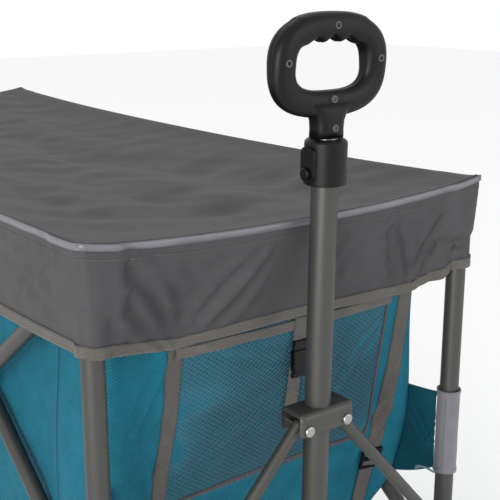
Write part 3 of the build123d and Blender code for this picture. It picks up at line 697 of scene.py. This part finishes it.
# ---- the basket ---------------------------------------------------------------------------------
BASKET_R = 18 * MM
SIDE_END = 110 * MM  # the ends of a side panel that keep to the end panels as the cart folds
CANVAS = 1.4 * MM
PANEL_FOLDS = (
    ((-175, -225), (-118, -108), 22, 2.4, 2.4),
    ((-175, -150), (-118, -300), 18, 2.2, 1.4),
    ((-150, -120), (-130, -330), 14, 2.0, 1.0),
    ((175, -225), (120, -330), 20, 2.2, 2.0),
    ((174, -150), (163, -310), 10, 2.0, 1.0),
    ((-118, -110), (30, -160), 20, 2.0, 1.2),
)


def panel_x(y, z, out=0.0):
    """Outer face of the front panel: it leans in towards the floor, billows and is drawn by its straps."""
    down = BASKET_TOP - z
    flat = PANEL_HIGH.x - PANEL_SLOPE * down
    v = y / BASKET_HALF
    u = down / (BASKET_TOP - BASKET_BOTTOM)
    ym, zm = y / MM, (z - COVER_Z) / MM
    bulge = 3.0 * edge_sag(v, 4) * math.sin(math.pi * max(0, min(1, u)))
    fold = fold_sum((ym, zm), PANEL_FOLDS)
    for strap in (RIGHT_STRAP, LEFT_STRAP):
        fold -= 1.3 * bell(ym - strap, 10)
    fold += 1.3 * uneven(y * 11, z * 15, 2.2)
    fold += 0.5 * uneven(y * 38, z * 30, 5.1)
    hold = smoothstep((1 - abs(v)) * 12)
    drawn = 17 * smoothstep((abs(ym) - 140) / 36) * bell(zm + 285, 120)
    turn = max(0.0, min(0.98, (abs(y) - (panel_edge_y(z) - BASKET_R)) / BASKET_R))
    rounded = BASKET_R * (1 - math.sqrt(1 - turn * turn))
    return flat + ((bulge + fold) * hold + drawn) * MM - rounded + out


def panel_normal(y, z):
    """Which way the front panel faces at a point."""
    step = 2 * MM
    a = Vector((panel_x(y + step, z) - panel_x(y - step, z), 2 * step, 0))
    b = Vector((panel_x(y, z + step) - panel_x(y, z - step), 0, 2 * step))
    return a.cross(b).normalized()


def panel_edge_y(z):
    """Half width of the basket at its front corners: the cuffs draw it out, and it rounds in at the floor."""
    low = smoothstep((z - BASKET_BOTTOM) / (40 * MM))
    return BASKET_HALF * (0.93 + 0.07 * low) + (5 + 13 * bell(z - 335 * MM, 110 * MM)) * MM


def on_panel(name, line, width, out, thickness, finish, replaces=()):
    """A strap or tape sewn on the front panel along a line of (y, z) points. It follows the cloth there."""
    points = []
    for a, b in zip(line, line[1:]):
        span = Vector(b) - Vector(a)
        count = max(2, round(span.length / (3 * MM)))
        points += [Vector(a) + span * (i / count) for i in range(count)]
    points.append(Vector(line[-1]))
    last = len(points) - 1
    run = sum((b - a).length for a, b in zip(points, points[1:]))

    def place(u, v):
        i = min(last, int(round(v * last)))
        ahead = (points[min(i + 2, last)] - points[max(i - 2, 0)]).normalized()
        y, z = points[i] + Vector((ahead.y, -ahead.x)) * (u - 0.5) * width
        return Vector((panel_x(y, z, out - 0.5 * MM * abs(2 * u - 1) ** 4), y, z))

    bm = sheet_grid(6, last, place, (width, run))
    return thickened(finish_piece(name, bm, finish, "front_upper", replaces), thickness)


class CART_OT_basket(bpy.types.Operator):
    """Build the basket: front, rear and side panels and the floor, each a soft sheet of woven cloth"""

    bl_idname = "cart.basket"
    bl_label = "Basket"

    def execute(self, context):
        self.end_panels()
        for label, way in (("left", 1), ("right", -1)):
            self.side_panel(label, way)
        self.floor()
        return {"FINISHED"}

    def end_panels(self):
        """The front and rear panels, each held at its sides by the cuffs."""
        height = BASKET_TOP - BASKET_BOTTOM
        size = (2 * BASKET_HALF, height)
        rear_x = node_box("rear_panel")[0].x

        def front(u, v):
            z = BASKET_BOTTOM + height * v
            y = (u * 2 - 1) * panel_edge_y(z)
            return Vector((panel_x(y, z), y, z))

        def rear(u, v):
            z = BASKET_BOTTOM + height * v
            y = (u * 2 - 1) * BASKET_HALF * 0.995
            wave = 1.2 * uneven(y * 12, z * 14, 6.2) + 3.0 * math.sin(math.pi * v)
            x = rear_x + PANEL_SLOPE * (BASKET_TOP - z) - wave * edge_sag(u * 2 - 1, 4) * MM
            return Vector((x, y, z))

        ends = (("front", front, 90, 88, -1.0), ("rear", rear, 60, 60, 1.0))
        for end, place, columns, rows, offset in ends:
            panel = finish_piece(f"{end}_panel_cloth", sheet_grid(columns, rows, place, size), "teal_fabric",
                                 f"{end}_upper", [f"{end}_panel"])
            thickened(panel, CANVAS, offset)

    def side_panel(self, label, way):
        """A side panel in three pieces, so that its ends keep to the end panels as the cart folds."""
        height = BASKET_TOP - BASKET_BOTTOM
        low, high = node_box(f"side_panel_{label}")
        rear_seam, front_seam = low.x + SIDE_END, high.x - SIDE_END

        def side(x, z, rear_end, front_end):
            u, v = (x - rear_end) / (front_end - rear_end), (z - BASKET_BOTTOM) / height
            t = u * 2 - 1
            swell = 5.0 * math.sin(math.pi * min(1, v * 1.05)) * (1 - 0.3 * math.cos(4 * math.pi * u))
            wave = 3.0 * uneven(x * 7, z * 8, 3.3 * way) + uneven(x * 25, z * 19, way)
            corner = (panel_edge_y(z) - BASKET_HALF + 0.6 * MM) * smoothstep((u - 0.86) / 0.1)
            billow = (swell + wave) * edge_sag(t, 8) * math.sin(math.pi * v) ** 0.5 * 0.8 * MM
            y = way * (BASKET_HALF - 1.2 * MM + corner + billow)
            return Vector((x, y, z - 6 * MM * edge_sag(t, 2.2) * v ** 4))

        for part, columns, body in (("rear_end", 10, "rear_upper"), ("cloth", 130, "rear_upper"),
                                    ("front_end", 10, "front_upper")):

            def place(u, v):
                z = BASKET_BOTTOM + height * v
                rear_end = low.x + MM + PANEL_SLOPE * (BASKET_TOP - z)
                front_end = panel_x(way * panel_edge_y(z), z)
                start = {"rear_end": rear_end, "cloth": rear_seam, "front_end": front_seam}[part]
                stop = {"rear_end": rear_seam, "cloth": front_seam, "front_end": front_end}[part]
                return side(start + (stop - start) * u, z, rear_end, front_end)

            size = (place(1, 0.5).x - place(0, 0.5).x, height)
            stands_for = [f"side_panel_{label}"] if part == "cloth" else ()
            cloth = finish_piece(f"side_panel_{part}_{label}", sheet_grid(columns, 52, place, size),
                                 "teal_fabric", body, stands_for)
            thickened(cloth, 1.2 * MM)
            if part == "cloth":
                fold_with_cart(cloth, rear_seam, front_seam)

    def floor(self):
        """The padded floor, dipping a little between its edges."""
        low, high = node_box("basket_floor")

        def place(u, v):
            x = low.x + (high.x - low.x) * u
            y = (v * 2 - 1) * (high.y - 1 * MM)
            dip = 3.0 * edge_sag(u * 2 - 1, 3) * edge_sag(v * 2 - 1, 3)
            return Vector((x, y, low.z + (3 - dip + 0.7 * uneven(x * 12, y * 12, 8.8)) * MM))

        bm = sheet_grid(110, 44, place, (high.x - low.x, 2 * BASKET_HALF))
        base = finish_piece("basket_floor_cloth", bm, "teal_fabric", "rear_upper", ["basket_floor"])
        fold_with_cart(thickened(base, 3 * MM), low.x, high.x)


# ---- what is sewn on the front ------------------------------------------------------------------
POCKET_RIGHT, POCKET_LEFT = -116 * MM, 139 * MM
POCKET_TOP, POCKET_BOTTOM = 484 * MM, 318 * MM
POCKET = (POCKET_LEFT - POCKET_RIGHT, POCKET_TOP - POCKET_BOTTOM)
STRAP_TOP = 494 * MM
TAB_Y = 20 * MM
WEBBING = 1.4 * MM
NET_FOLDS = (
    ((-109, -250), (60, -170), 22, 2.4, 1.2),
    ((152, -130), (40, -250), 22, 2.4, 1.4),
)


def millimetres(*points):
    """Points given in millimetres, in metres."""
    return [(y * MM, z * MM) for y, z in points]


def moulding(name, blocks, round_off, segments, where, replaces=()):
    """A small moulded piece of the front panel: rounded blocks, each a (middle, size), moved into place."""
    bm = bmesh.new()
    for middle, size in blocks:
        made = bmesh.ops.create_cube(bm, size=1, matrix=Matrix.Diagonal((*size, 1)))
        bmesh.ops.translate(bm, verts=made["verts"], vec=middle)
    bmesh.ops.bevel(bm, geom=bm.edges[:], offset=round_off, offset_type="OFFSET", affect="EDGES",
                    segments=segments, profile=0.5, material=-1)
    bm.transform(where)
    return finish_piece(name, bm, "black_plastic", "front_upper", replaces, smooth=False)


class CART_OT_front_trim(bpy.types.Operator):
    """Build the straps, net pocket, tape and buckles that are sewn on the front panel"""

    bl_idname = "cart.front_trim"
    bl_label = "Front straps and pocket"

    def execute(self, context):
        self.straps()
        net = self.net()
        edges = self.pocket_edges()
        self.pocket_back_and_tabs()
        # the net's openings leave a little over half of it as thread
        self.buckles()
        return {"FINISHED"}

    def straps(self):
        """The two straps, and the left one's tail under its buckle."""
        width = sizes().strap_width
        right = [(RIGHT_STRAP * MM, STRAP_TOP), *millimetres((-121, 400), (-127, 300), (-130, 224))]
        left = [(LEFT_STRAP * MM, STRAP_TOP), *millimetres((160, 400), (150, 300), (148, 288))]
        tail = millimetres((148, 296), (146, 262), (144, 224))
        runs = (("right", right, 2.3, 272, ["front_straps"]), ("left", left, 2.3, 208, ()),
                ("left_tail", tail, 3.9, 73, ()))
        for name, line, out, run, stands_for in runs:
            strap = on_panel(f"front_strap_{name}", line, width, out * MM, WEBBING, "taupe_webbing",
                             stands_for)

    def net(self):
        """The net: a slanted grid cut to the pocket's outline, its edges made into threads."""
        cell_x = sizes().net_pitch
        cell_z = cell_x * 0.74
        count = round(540 * MM / cell_x)
        bm = bmesh.new()
        bmesh.ops.create_grid(bm, x_segments=count, y_segments=count, size=0.5)
        for vert in bm.verts:
            a, b = (vert.co.x + 0.5) * count, (vert.co.y + 0.5) * count
            vert.co = ((a - b) * cell_x / 2 + 22 * MM, (a + b - count) * cell_z / 2 + 405 * MM, 0)
        cuts = (((POCKET_LEFT, 0, 0), (1, 0, 0)), ((POCKET_RIGHT, 0, 0), (-1, 0, 0)),
                ((0, POCKET_TOP, 0), (0, 1, 0)), ((0, POCKET_BOTTOM, 0), (0, -1, 0)))
        for point, normal in cuts:
            geometry = bm.verts[:] + bm.edges[:] + bm.faces[:]
            bmesh.ops.bisect_plane(bm, geom=geometry, dist=1e-6, plane_co=point, plane_no=normal,
                                   clear_outer=True)
        bmesh.ops.wireframe(bm, faces=bm.faces[:], thickness=0.95 * MM, use_replace=True, use_boundary=True,
                            use_even_offset=False)
        for vert in bm.verts:
            y, z, rise = vert.co
            down = max(0, min(1, (POCKET_TOP - z) / POCKET[1]))
            lift = 2.0 * math.sin(math.pi * (y - POCKET_RIGHT) / POCKET[0])
            lift += 2.2 * uneven(y * 14, z * 30, 6.6)
            lift *= math.sin(math.pi * down ** 1.4)
            pull = fold_sum((y / MM, z / MM - 600), NET_FOLDS)
            vert.co = (panel_x(y, z, (1.6 + lift + pull) * MM) + rise, y, z)
        bmesh.ops.recalc_face_normals(bm, faces=bm.faces)
        return finish_piece("mesh_pocket_net", bm, "mesh_fabric", "front_upper", ["mesh_pocket"])

    def pocket_edges(self):
        """The tape along the pocket's mouth and the narrow bindings below it and at its left."""
        top = POCKET_TOP - 5 * MM
        mouth = [(POCKET_RIGHT - 3 * MM, top), (22 * MM, top - MM), (POCKET_LEFT + 3 * MM, top)]
        low = [(POCKET_RIGHT + POCKET[0] * i / 8, POCKET_BOTTOM + (2 + 4 * math.sin(math.pi * i / 8)) * MM)
               for i in range(9)]
        left = [(POCKET_LEFT, POCKET_TOP - 2 * MM), (POCKET_LEFT, POCKET_BOTTOM + 2 * MM)]
        return [on_panel("pocket_hem_tape", mouth, 10 * MM, 4.4 * MM, MM, "binding_tape"),
                on_panel("pocket_lower_binding", low, 3.4 * MM, 2.6 * MM, MM, "dark_edge"),
                on_panel("pocket_left_binding", left, 3 * MM, 2.6 * MM, MM, "dark_edge")]

    def pocket_back_and_tabs(self):
        """A dark sheet behind the net, its colour painted shade of the net on the canvas, and the two tabs
        that the pocket's buckle joins.
        """

        def place(u, v):
            y, z = POCKET_RIGHT + POCKET[0] * u, POCKET_BOTTOM + POCKET[1] * v
            return Vector((panel_x(y, z, 0.6 * MM), y, z))

        # the dark sheet behind the net is painted shade of the net on the canvas
        back = finish_piece("pocket_back_cloth", sheet_grid(60, 40, place, POCKET), "pocket_back",
                            "front_upper")
        thickened(back, 0.5 * MM)
        for name, top, low, out, stands_for in (("pocket_tab", 486, 452, 5.8, ["pocket_strap"]),
                                                ("pocket_lower_tab", 436, 372, 5.0, ())):
            line = [(TAB_Y, top * MM), (TAB_Y, low * MM)]
            tab = on_panel(name, line, 15 * MM, out * MM, WEBBING, "taupe_webbing", stands_for)

    def buckles(self):
        """Two ladder buckles on the straps and a side-release buckle on the pocket's tab."""
        wide = 24 * MM
        bar = (3.6 * MM, wide, 3 * MM)
        ladders = ((1, 148 * MM, 287 * MM, 24 * MM, ["strap_buckles"]),
                   (2, -128.5 * MM, 262 * MM, 20 * MM, ()))
        for number, y, z, tall, stands_for in ladders:
            rail = (3.2 * MM, 3 * MM, tall)
            bars = [((0, 0, tall / 2), bar), ((0, 0, -tall / 2), bar),
                    ((0.6 * MM, 0, 0), (3.4 * MM, wide, 3.4 * MM)), ((0, wide / 2 - 1.5 * MM, 0), rail),
                    ((0, -wide / 2 + 1.5 * MM, 0), rail)]
            tilt = panel_normal(y, z).to_track_quat("X", "Z").to_matrix().to_4x4()
            where = Matrix.Translation((panel_x(y, z, 6.2 * MM), y, z)) @ tilt
            moulding(f"ladder_buckle_{number}", bars, 0.8 * MM, 2, where, stands_for)
        prong = (5 * MM, 3 * MM, 14 * MM)
        parts = [((0, 0, 0), (7 * MM, 20 * MM, 22 * MM)), ((0, 0, 16 * MM), (6 * MM, 17 * MM, 9 * MM)),
                 ((0, 7.5 * MM, 10 * MM), prong), ((0, -7.5 * MM, 10 * MM), prong),
                 ((0, 0, -14 * MM), (4 * MM, 22 * MM, 5 * MM))]
        z = 442 * MM
        where = Matrix.Translation((panel_x(TAB_Y, z, 9.5 * MM), TAB_Y, z))
        moulding("pocket_buckle", parts, 1.1 * MM, 3, where)


# ---- the cuffs on the posts ---------------------------------------------------------------------
CUFF_LOW, CUFF_HIGH = 275 * MM, 370 * MM
CUFF_TALL = CUFF_HIGH - CUFF_LOW
CUFF_LAP = 1.04
FLAP_TALL = CUFF_TALL + 20 * MM
FLAP_FOLDS = (
    ((0, 95), (60, 30), 14, 2.2, 2.0),
    ((0, 10), (60, 70), 16, 2.2, 1.6),
)


def cuff_ring(name, post_x, way, body, replaces):
    """A webbing cuff wrapped round a post, with its overlap and rolled edges, and one side open a little."""
    post_y = way * POST_Y

    def place(u, v):
        turn = 2 * math.pi * u * CUFF_LAP
        z = CUFF_LOW + CUFF_TALL * v
        lap = 1.0 * MM * smoothstep((u - 0.9) / 0.08)
        roll = 1.0 * MM * (bell(v, 0.05) + bell(1 - v, 0.05))
        soft = 0.45 * MM * uneven(turn * 1.3, z * 30, post_x * 9 + way)
        r = POST_R + 1.5 * MM + lap + roll + soft
        return Vector((post_x + r * math.cos(turn + 2.2 * way), post_y + r * math.sin(turn + 2.2 * way), z))

    bm = sheet_grid(64, 30, place, (2 * math.pi * 12 * MM, CUFF_TALL))
    return thickened(finish_piece(name, bm, "grey_cuff_webbing", body, replaces), 1.2 * MM)


def cuff_flap(name, post_x, way, inward, body, corner_x):
    """The doubled cloth flap from the basket's corner to the cuff, drawn into folds by the cuff."""
    edge = panel_edge_y((CUFF_LOW + CUFF_HIGH) / 2) - 5 * MM
    start = Vector((corner_x, way * edge, 0))
    end = Vector((post_x - inward * 9 * MM, way * (POST_Y - 9 * MM), 0))
    across = end - start

    def place(u, v):
        top = CUFF_HIGH - (1 + 3 * u) * MM
        low = CUFF_LOW - (20 - 22 * u) * MM
        z = low + (top - low) * v
        p = start + across * u
        if inward > 0:
            p.x += (panel_x(way * edge, z) - panel_x(way * edge, CUFF_HIGH)) * (1 - u)
        fold = fold_sum((u * 60, v * 110), FLAP_FOLDS)
        fold += 3.5 * math.sin(math.pi * u) + 0.8 * uneven(u * 4, v * 5, way * 3.0)
        roll = 1.6 * bell(1 - v, 0.045)
        return Vector((p.x + inward * (fold + roll) * MM, p.y, z))

    size = (across.length, FLAP_TALL)
    # the flap wears the darkened copy of the basket cloth: painted shade
    flap = finish_piece(name, sheet_grid(26, 52, place, size), "teal_painted_shade", body)
    thickened(flap, 2.2 * MM)


class CART_OT_cuffs(bpy.types.Operator):
    """Build the webbing cuffs round the posts, their cloth flaps and the front cuff's pull cord"""

    bl_idname = "cart.cuffs"
    bl_label = "Cuffs"

    def execute(self, context):
        front_corner = panel_x(panel_edge_y(330 * MM) - 5 * MM, CUFF_HIGH)
        rear_corner = node_box("rear_panel")[0].x + PANEL_SLOPE * 200 * MM
        ends = (("front", FRONT_X, 1, front_corner), ("rear", REAR_X, -1, rear_corner))
        for end, post_x, inward, corner in ends:
            body = f"{end}_upper"
            for label, way in (("left", 1), ("right", -1)):
                stands_for = [f"{end}_cuffs"] if label == "left" else []
                ring = cuff_ring(f"{end}_cuff_ring_{label}", post_x, way, body, stands_for)
                cuff_flap(f"{end}_cuff_flap_{label}", post_x, way, inward, body, corner)
                spot = 5.2 if way > 0 else 4.2
                x, y = post_x + 13.4 * MM * math.cos(spot), way * POST_Y + 13.4 * MM * math.sin(spot)
                low = CUFF_LOW + 5 * MM
                line = [Vector((x, y, low + (CUFF_TALL - 10 * MM) * i / 39)) for i in range(40)]
                stitches(f"{end}_cuff_stitches_{label}", line, body)
        self.pull_cord()
        return {"FINISHED"}

    def pull_cord(self):
        """The short cord with a knot that hangs from the front left cuff."""
        thick = 2.4 * MM
        curve = bpy.data.curves.new("cuff_pull_cord", "CURVE")
        curve.dimensions = "3D"
        curve.bevel_depth = thick / 2
        curve.bevel_resolution = 3
        curve.use_fill_caps = True
        route = ((2, -13.5, 280), (3, -18, 277), (3, -26, 283), (2, -36, 290), (2, -44, 293))
        points = [Vector((FRONT_X + x * MM, POST_Y + y * MM, z * MM)) for x, y, z in route]
        line = curve.splines.new("NURBS")
        line.points.add(len(points) - 1)
        for spot, p in zip(line.points, points):
            spot.co = (*p, 1)
        line.order_u = 3
        line.use_endpoint_u = True
        cord = bpy.data.objects.new("cuff_pull_cord", curve)
        bpy.context.scene.collection.objects.link(cord)
        curve.materials.append(MATERIALS["mesh_fabric"])
        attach(cord, "front_upper")
        bm = bmesh.new()
        bmesh.ops.create_uvsphere(bm, u_segments=20, v_segments=12, radius=2.3 * MM)
        bmesh.ops.scale(bm, verts=bm.verts, vec=(1, 1.7, 1))
        bmesh.ops.translate(bm, verts=bm.verts, vec=points[-1] + Vector((0, -2 * MM, 0)))
        knot = finish_piece("cuff_pull_knot", bm, "mesh_fabric", "front_upper")


# ---- the grip -----------------------------------------------------------------------------------
HANDLE_AHEAD = 23.5 * MM  # how far ahead of the posts the handle's axis stands at its hinge
HANDLE_HINGE_Z = 205 * MM
GRIP_OUTER = 43.5 * MM
GRIP_INNER = (38.5 * MM, 20.5 * MM)


def squircle(a, b, power):
    """How far a rounded square of half width 1 reaches in a direction."""
    return (abs(a) ** power + abs(b) ** power) ** (-1 / power)


class CART_OT_grip(bpy.types.Operator):
    """Build the closed grip: one loop with finger hollows, a raised crown, a neck and a parting line"""

    bl_idname = "cart.grip"
    bl_label = "Grip"

    def execute(self, context):
        self.low, self.high = node_box("grip_front_half")
        self.middle_x = (self.high.x + node_box("grip_rear_half")[0].x) / 2
        self.centre_z = self.high.z - 43 * MM
        self.loop()
        self.neck()
        self.screws()
        return {"FINISHED"}

    def axis_x(self, z):
        """Where the leaning handle's axis is at a height."""
        foot = FRONT_X + HANDLE_AHEAD
        return foot + (self.middle_x - foot) / (self.centre_z - HANDLE_HINGE_Z) * (z - HANDLE_HINGE_Z)

    def loop(self):
        """The loop: a ring spun round its middle, then drawn to the grip's two outlines."""
        outer = ((self.high.y - self.low.y) / 2 - 1.2 * MM, GRIP_OUTER)
        bm = bmesh.new()
        ring = bmesh.ops.create_circle(bm, segments=40, radius=1)["verts"]
        for vert in ring:
            vert.co = (3 + vert.co.x, 0, vert.co.y)
        bmesh.ops.spin(bm, geom=bm.verts[:] + bm.edges[:], cent=(0, 0, 0), axis=(0, 0, 1), angle=2 * math.pi,
                       steps=200, use_merge=True)
        for vert in bm.verts:
            x, y, h = vert.co
            turn = math.atan2(y, x)
            c, s = math.cos(turn), math.sin(turn)
            radial = math.hypot(x, y) - 3
            a = Vector((GRIP_INNER[0] * c, GRIP_INNER[1] * s)) * squircle(c, s, 3.0) + Vector((0, 1.2 * MM))
            b = Vector((outer[0] * c, outer[1] * s)) * squircle(c, s, 2.6)
            if s < 0:
                b.y *= 1.0 + 0.04 * s
            k = squircle(radial, h, 2.6) if radial or h else 0
            r, d = radial * k, h * k
            half = (b - a) / 2
            p = (a + b) / 2 + half * r
            if s > 0.2 and r < 0:
                scallop = 2.4 * MM * math.cos(p.x / MM * 2 * math.pi / 18.5) * bell(p.x, 30 * MM)
                p.y += scallop * -r * smoothstep((s - 0.2) / 0.4)
            if s > 0.55 and r > 0.2 and abs(d) < 0.93:
                raised = smoothstep((s - 0.6) / 0.15) * smoothstep((r - 0.2) / 0.25)
                raised *= smoothstep((0.9 - abs(d)) / 0.1) * smoothstep((40 - abs(p.x / MM)) / 5)
                p.y += 1.0 * MM * raised
            parting_line = bell(d, 0.035) * 0.5 * MM
            p -= half.normalized() * (parting_line * r)
            depth = 10.5 * MM * (0.80 + 0.20 * smoothstep(s + 0.6)) * d
            z = self.centre_z + p.y
            vert.co = (self.axis_x(z) + depth, p.x, z)
        bmesh.ops.recalc_face_normals(bm, faces=bm.faces)
        finish_piece("grip_loop", bm, "black_plastic", "pull", ["grip_front_half", "grip_rear_half"])

    def neck(self):
        """The neck: rounded sections, each (height, half width, half depth) in mm, bridged and capped."""
        bm = bmesh.new()
        rings = []
        for up, half_y, half_x in ((0.2, 14.6, 11.0), (8, 14.3, 11.0), (15, 15.0, 11.1), (22, 18.5, 11.3),
                                   (29, 28.0, 10.6)):
            z = self.low.z + up * MM
            verts = bmesh.ops.create_circle(bm, segments=56, radius=1)["verts"]
            for vert in verts:
                c, s = vert.co.x, vert.co.y
                k = squircle(c, s, 3)
                groove = 0.5 * MM * bell(c, 0.05)
                vert.co = (self.axis_x(z) + half_x * MM * c * k, (half_y * MM - groove) * s * k, z)
            rings.append([e for e in bm.edges if e.verts[0] in verts and e.verts[1] in verts])
        for a, b in zip(rings, rings[1:]):
            bmesh.ops.bridge_loops(bm, edges=a + b)
        bmesh.ops.holes_fill(bm, edges=[e for e in bm.edges if e.is_boundary], sides=0)
        bmesh.ops.recalc_face_normals(bm, faces=bm.faces)
        finish_piece("grip_neck", bm, "black_plastic", "pull")

    def screws(self):
        """The five screws, each with a socket in its head."""
        side_z = self.centre_z + 5 * MM
        spots = ((0, self.high.z - 9.5 * MM, 10.2), (0, self.low.z + 9 * MM, 11.2),
                 (0, self.centre_z - 26.5 * MM, 9.0), (50.5 * MM, side_z, 9.9), (-50.5 * MM, side_z, 9.9))
        for i, (y, z, half_depth) in enumerate(spots):
            bm = bmesh.new()
            bmesh.ops.create_cone(bm, cap_ends=True, segments=28, radius1=3.4 * MM, radius2=3.1 * MM,
                                  depth=1.6 * MM)
            head = [f for f in bm.faces if f.normal.z > 0.9]
            bmesh.ops.inset_region(bm, faces=head, thickness=1.3 * MM, depth=0)
            bmesh.ops.inset_region(bm, faces=head, thickness=0.15 * MM, depth=-0.9 * MM)
            face = Vector((self.axis_x(z) + half_depth * MM, y, z))
            bm.transform(Matrix.Translation(face) @ Matrix.Rotation(math.pi / 2, 4, "Y"))
            finish_piece(f"grip_screw_{i + 1}", bm, "screw_black", "pull", () if i else ["grip_screws"],
                         smooth=False)


# ---- the tyres ----------------------------------------------------------------------------------
def tyre(name, node, body, blocks):
    """A moulded tyre with rounded shoulders, offset tread blocks and ribs in its walls."""
    low, high = node_box(node)
    radius, half = (high.z - low.z) / 2, (high.y - low.y) / 2
    centre = (low + high) / 2
    wall = 27 * MM * radius / (90 * MM)
    bm = bmesh.new()
    profile = bmesh.ops.create_circle(bm, segments=44, radius=1)["verts"]
    for vert in profile:
        a, b = vert.co.x, vert.co.y
        k = squircle(a, b, 3.2)
        vert.co = (0, half * a * k, radius - wall / 2 + (wall / 2) * b * k)
    bmesh.ops.spin(bm, geom=bm.verts[:] + bm.edges[:], cent=(0, 0, 0), axis=(0, 1, 0), angle=2 * math.pi,
                   steps=blocks * 8, use_merge=True)
    for vert in bm.verts:
        r = math.hypot(vert.co.x, vert.co.z)
        if r < radius - wall * 0.45:
            continue
        share = vert.co.y / half
        turn = math.atan2(vert.co.z, vert.co.x) * blocks / (2 * math.pi) + abs(share) * 0.9
        row = 0.5 if share > 0 else 0.0
        across = (turn + row) % 1.0
        cut = smoothstep((0.16 - abs(across - 0.5)) / 0.06) if abs(share) > 0.12 else 0.0
        cut = max(cut, bell(share, 0.09), bell(abs(share) - 0.52, 0.045) * 0.8)
        depth = 2.6 * MM * cut * smoothstep((r - (radius - wall * 0.45)) / (3 * MM))
        vert.co.x *= 1 - depth / r
        vert.co.z *= 1 - depth / r
    bmesh.ops.recalc_face_normals(bm, faces=bm.faces)
    bmesh.ops.translate(bm, verts=bm.verts, vec=centre)
    finish_piece(name, bm, "tyre_rubber", body, [node])


class CART_OT_wheels(bpy.types.Operator):
    """Build the four tyres with their tread"""

    bl_idname = "cart.wheels"
    bl_label = "Tyres"

    def execute(self, context):
        blocks = sizes().tread_blocks
        for end in ("front", "rear"):
            for side in ("left", "right"):
                tyre(f"{end}_{side}_tyre_treaded", f"{end}_{side}_tyre", f"{end}_wheel_{side}", blocks)
        return {"FINISHED"}


# ---- finishes of the frame's own parts ----------------------------------------------------------
class CART_OT_finishes(bpy.types.Operator):
    """Make the materials and give each frame part its own"""

    bl_idname = "cart.finishes"
    bl_label = "Finishes"

    def execute(self, context):
        MATERIALS.update(finishes())
        slots = {row["node"]: row["material_slot"] for row in frame["record"]["subparts"]}
        for name, node in frame["nodes"].items():
            node.data.materials.clear()
            node.data.materials.append(MATERIALS[slots[name]])
        return {"FINISHED"}


# ---- floor, light and camera --------------------------------------------------------------------
def area_light(name, place, target, size, power, tint):
    lamp = bpy.data.lights.new(name, "AREA")
    lamp.shape = "RECTANGLE"
    lamp.size, lamp.size_y = size
    lamp.energy = power
    lamp.color = tint
    holder = bpy.data.objects.new(name, lamp)
    bpy.context.scene.collection.objects.link(holder)
    holder.location = place
    holder.rotation_euler = (Vector(target) - Vector(place)).to_track_quat("-Z", "Y").to_euler()
    return holder


class CART_OT_stage(bpy.types.Operator):
    """Set a plain pale floor, soft studio light and the camera"""

    bl_idname = "cart.stage"
    bl_label = "Stage"

    def execute(self, context):
        scene = context.scene
        bm = bmesh.new()
        bmesh.ops.create_grid(bm, x_segments=1, y_segments=1, size=9)
        mesh = bpy.data.meshes.new("floor")
        bm.to_mesh(mesh)
        bm.free()
        floor = bpy.data.objects.new("floor", mesh)
        scene.collection.objects.link(floor)
        material, _, shader, _ = new_material("studio_floor")
        shader.inputs["Base Color"].default_value = (0.93, 0.93, 0.93, 1)
        shader.inputs["Roughness"].default_value = 0.9
        mesh.materials.append(material)
        world = bpy.data.worlds.new("studio")
        world.use_nodes = True
        background = world.node_tree.nodes["Background"]
        background.inputs["Color"].default_value = (1, 1, 1, 1)
        background.inputs["Strength"].default_value = 1.0
        scene.world = world
        scene.view_settings.view_transform = "Standard"
        target = (0.25, 0, 0.5)
        lights = [area_light("key_light", (2.2, -3.2, 0.9), target, (1.8, 1.8), 118, (1, 0.985, 0.95)),
                  area_light("fill_light", (3.0, 1.6, 1.2), target, (1.6, 1.6), 21, (0.96, 0.98, 1))]
        eye = bpy.data.cameras.new("camera")
        eye.lens = 71
        eye.sensor_width = 36
        eye.clip_start, eye.clip_end = 0.02, 60
        holder = bpy.data.objects.new("camera", eye)
        holder.location = (FRONT_X + 0.6524, -0.5514, COVER_Z + 0.1895)
        holder.rotation_euler = (math.radians(74.83), 0, math.radians(52.8))
        scene.collection.objects.link(holder)
        scene.camera = holder
        return {"FINISHED"}


# ---- sidebar, registration and run --------------------------------------------------------------
class CART_PT_panel(bpy.types.Panel):
    """Sizes and colours of the cart, and a button for each part of it"""

    bl_label = "Beach cart"
    bl_idname = "CART_PT_panel"
    bl_space_type = "VIEW_3D"
    bl_region_type = "UI"
    bl_category = "Beach cart"

    def draw(self, context):
        for group in (context.scene.cart_sizes, context.scene.cart_colours):
            column = self.layout.column()
            for name in group.bl_rna.properties.keys():
                if name not in ("rna_type", "name"):
                    column.prop(group, name)
        for step in STEPS:
            self.layout.operator(step.bl_idname)


STEPS = (CART_OT_finishes, CART_OT_cover, CART_OT_basket, CART_OT_front_trim, CART_OT_cuffs, CART_OT_grip,
         CART_OT_wheels, CART_OT_stage)
CLASSES = (CartColours, CartSizes, *STEPS, CART_PT_panel)


def register():
    for made in CLASSES:
        bpy.utils.register_class(made)
    bpy.types.Scene.cart_colours = PointerProperty(type=CartColours)
    bpy.types.Scene.cart_sizes = PointerProperty(type=CartSizes)


def unregister():
    del bpy.types.Scene.cart_sizes
    del bpy.types.Scene.cart_colours
    for made in reversed(CLASSES):
        bpy.utils.unregister_class(made)


def main():
    register()
    for step in STEPS:
        group, name = step.bl_idname.split(".")
        getattr(getattr(bpy.ops, group), name)()
    bpy.context.view_layer.update()


if __name__ == "__main__":
    main()
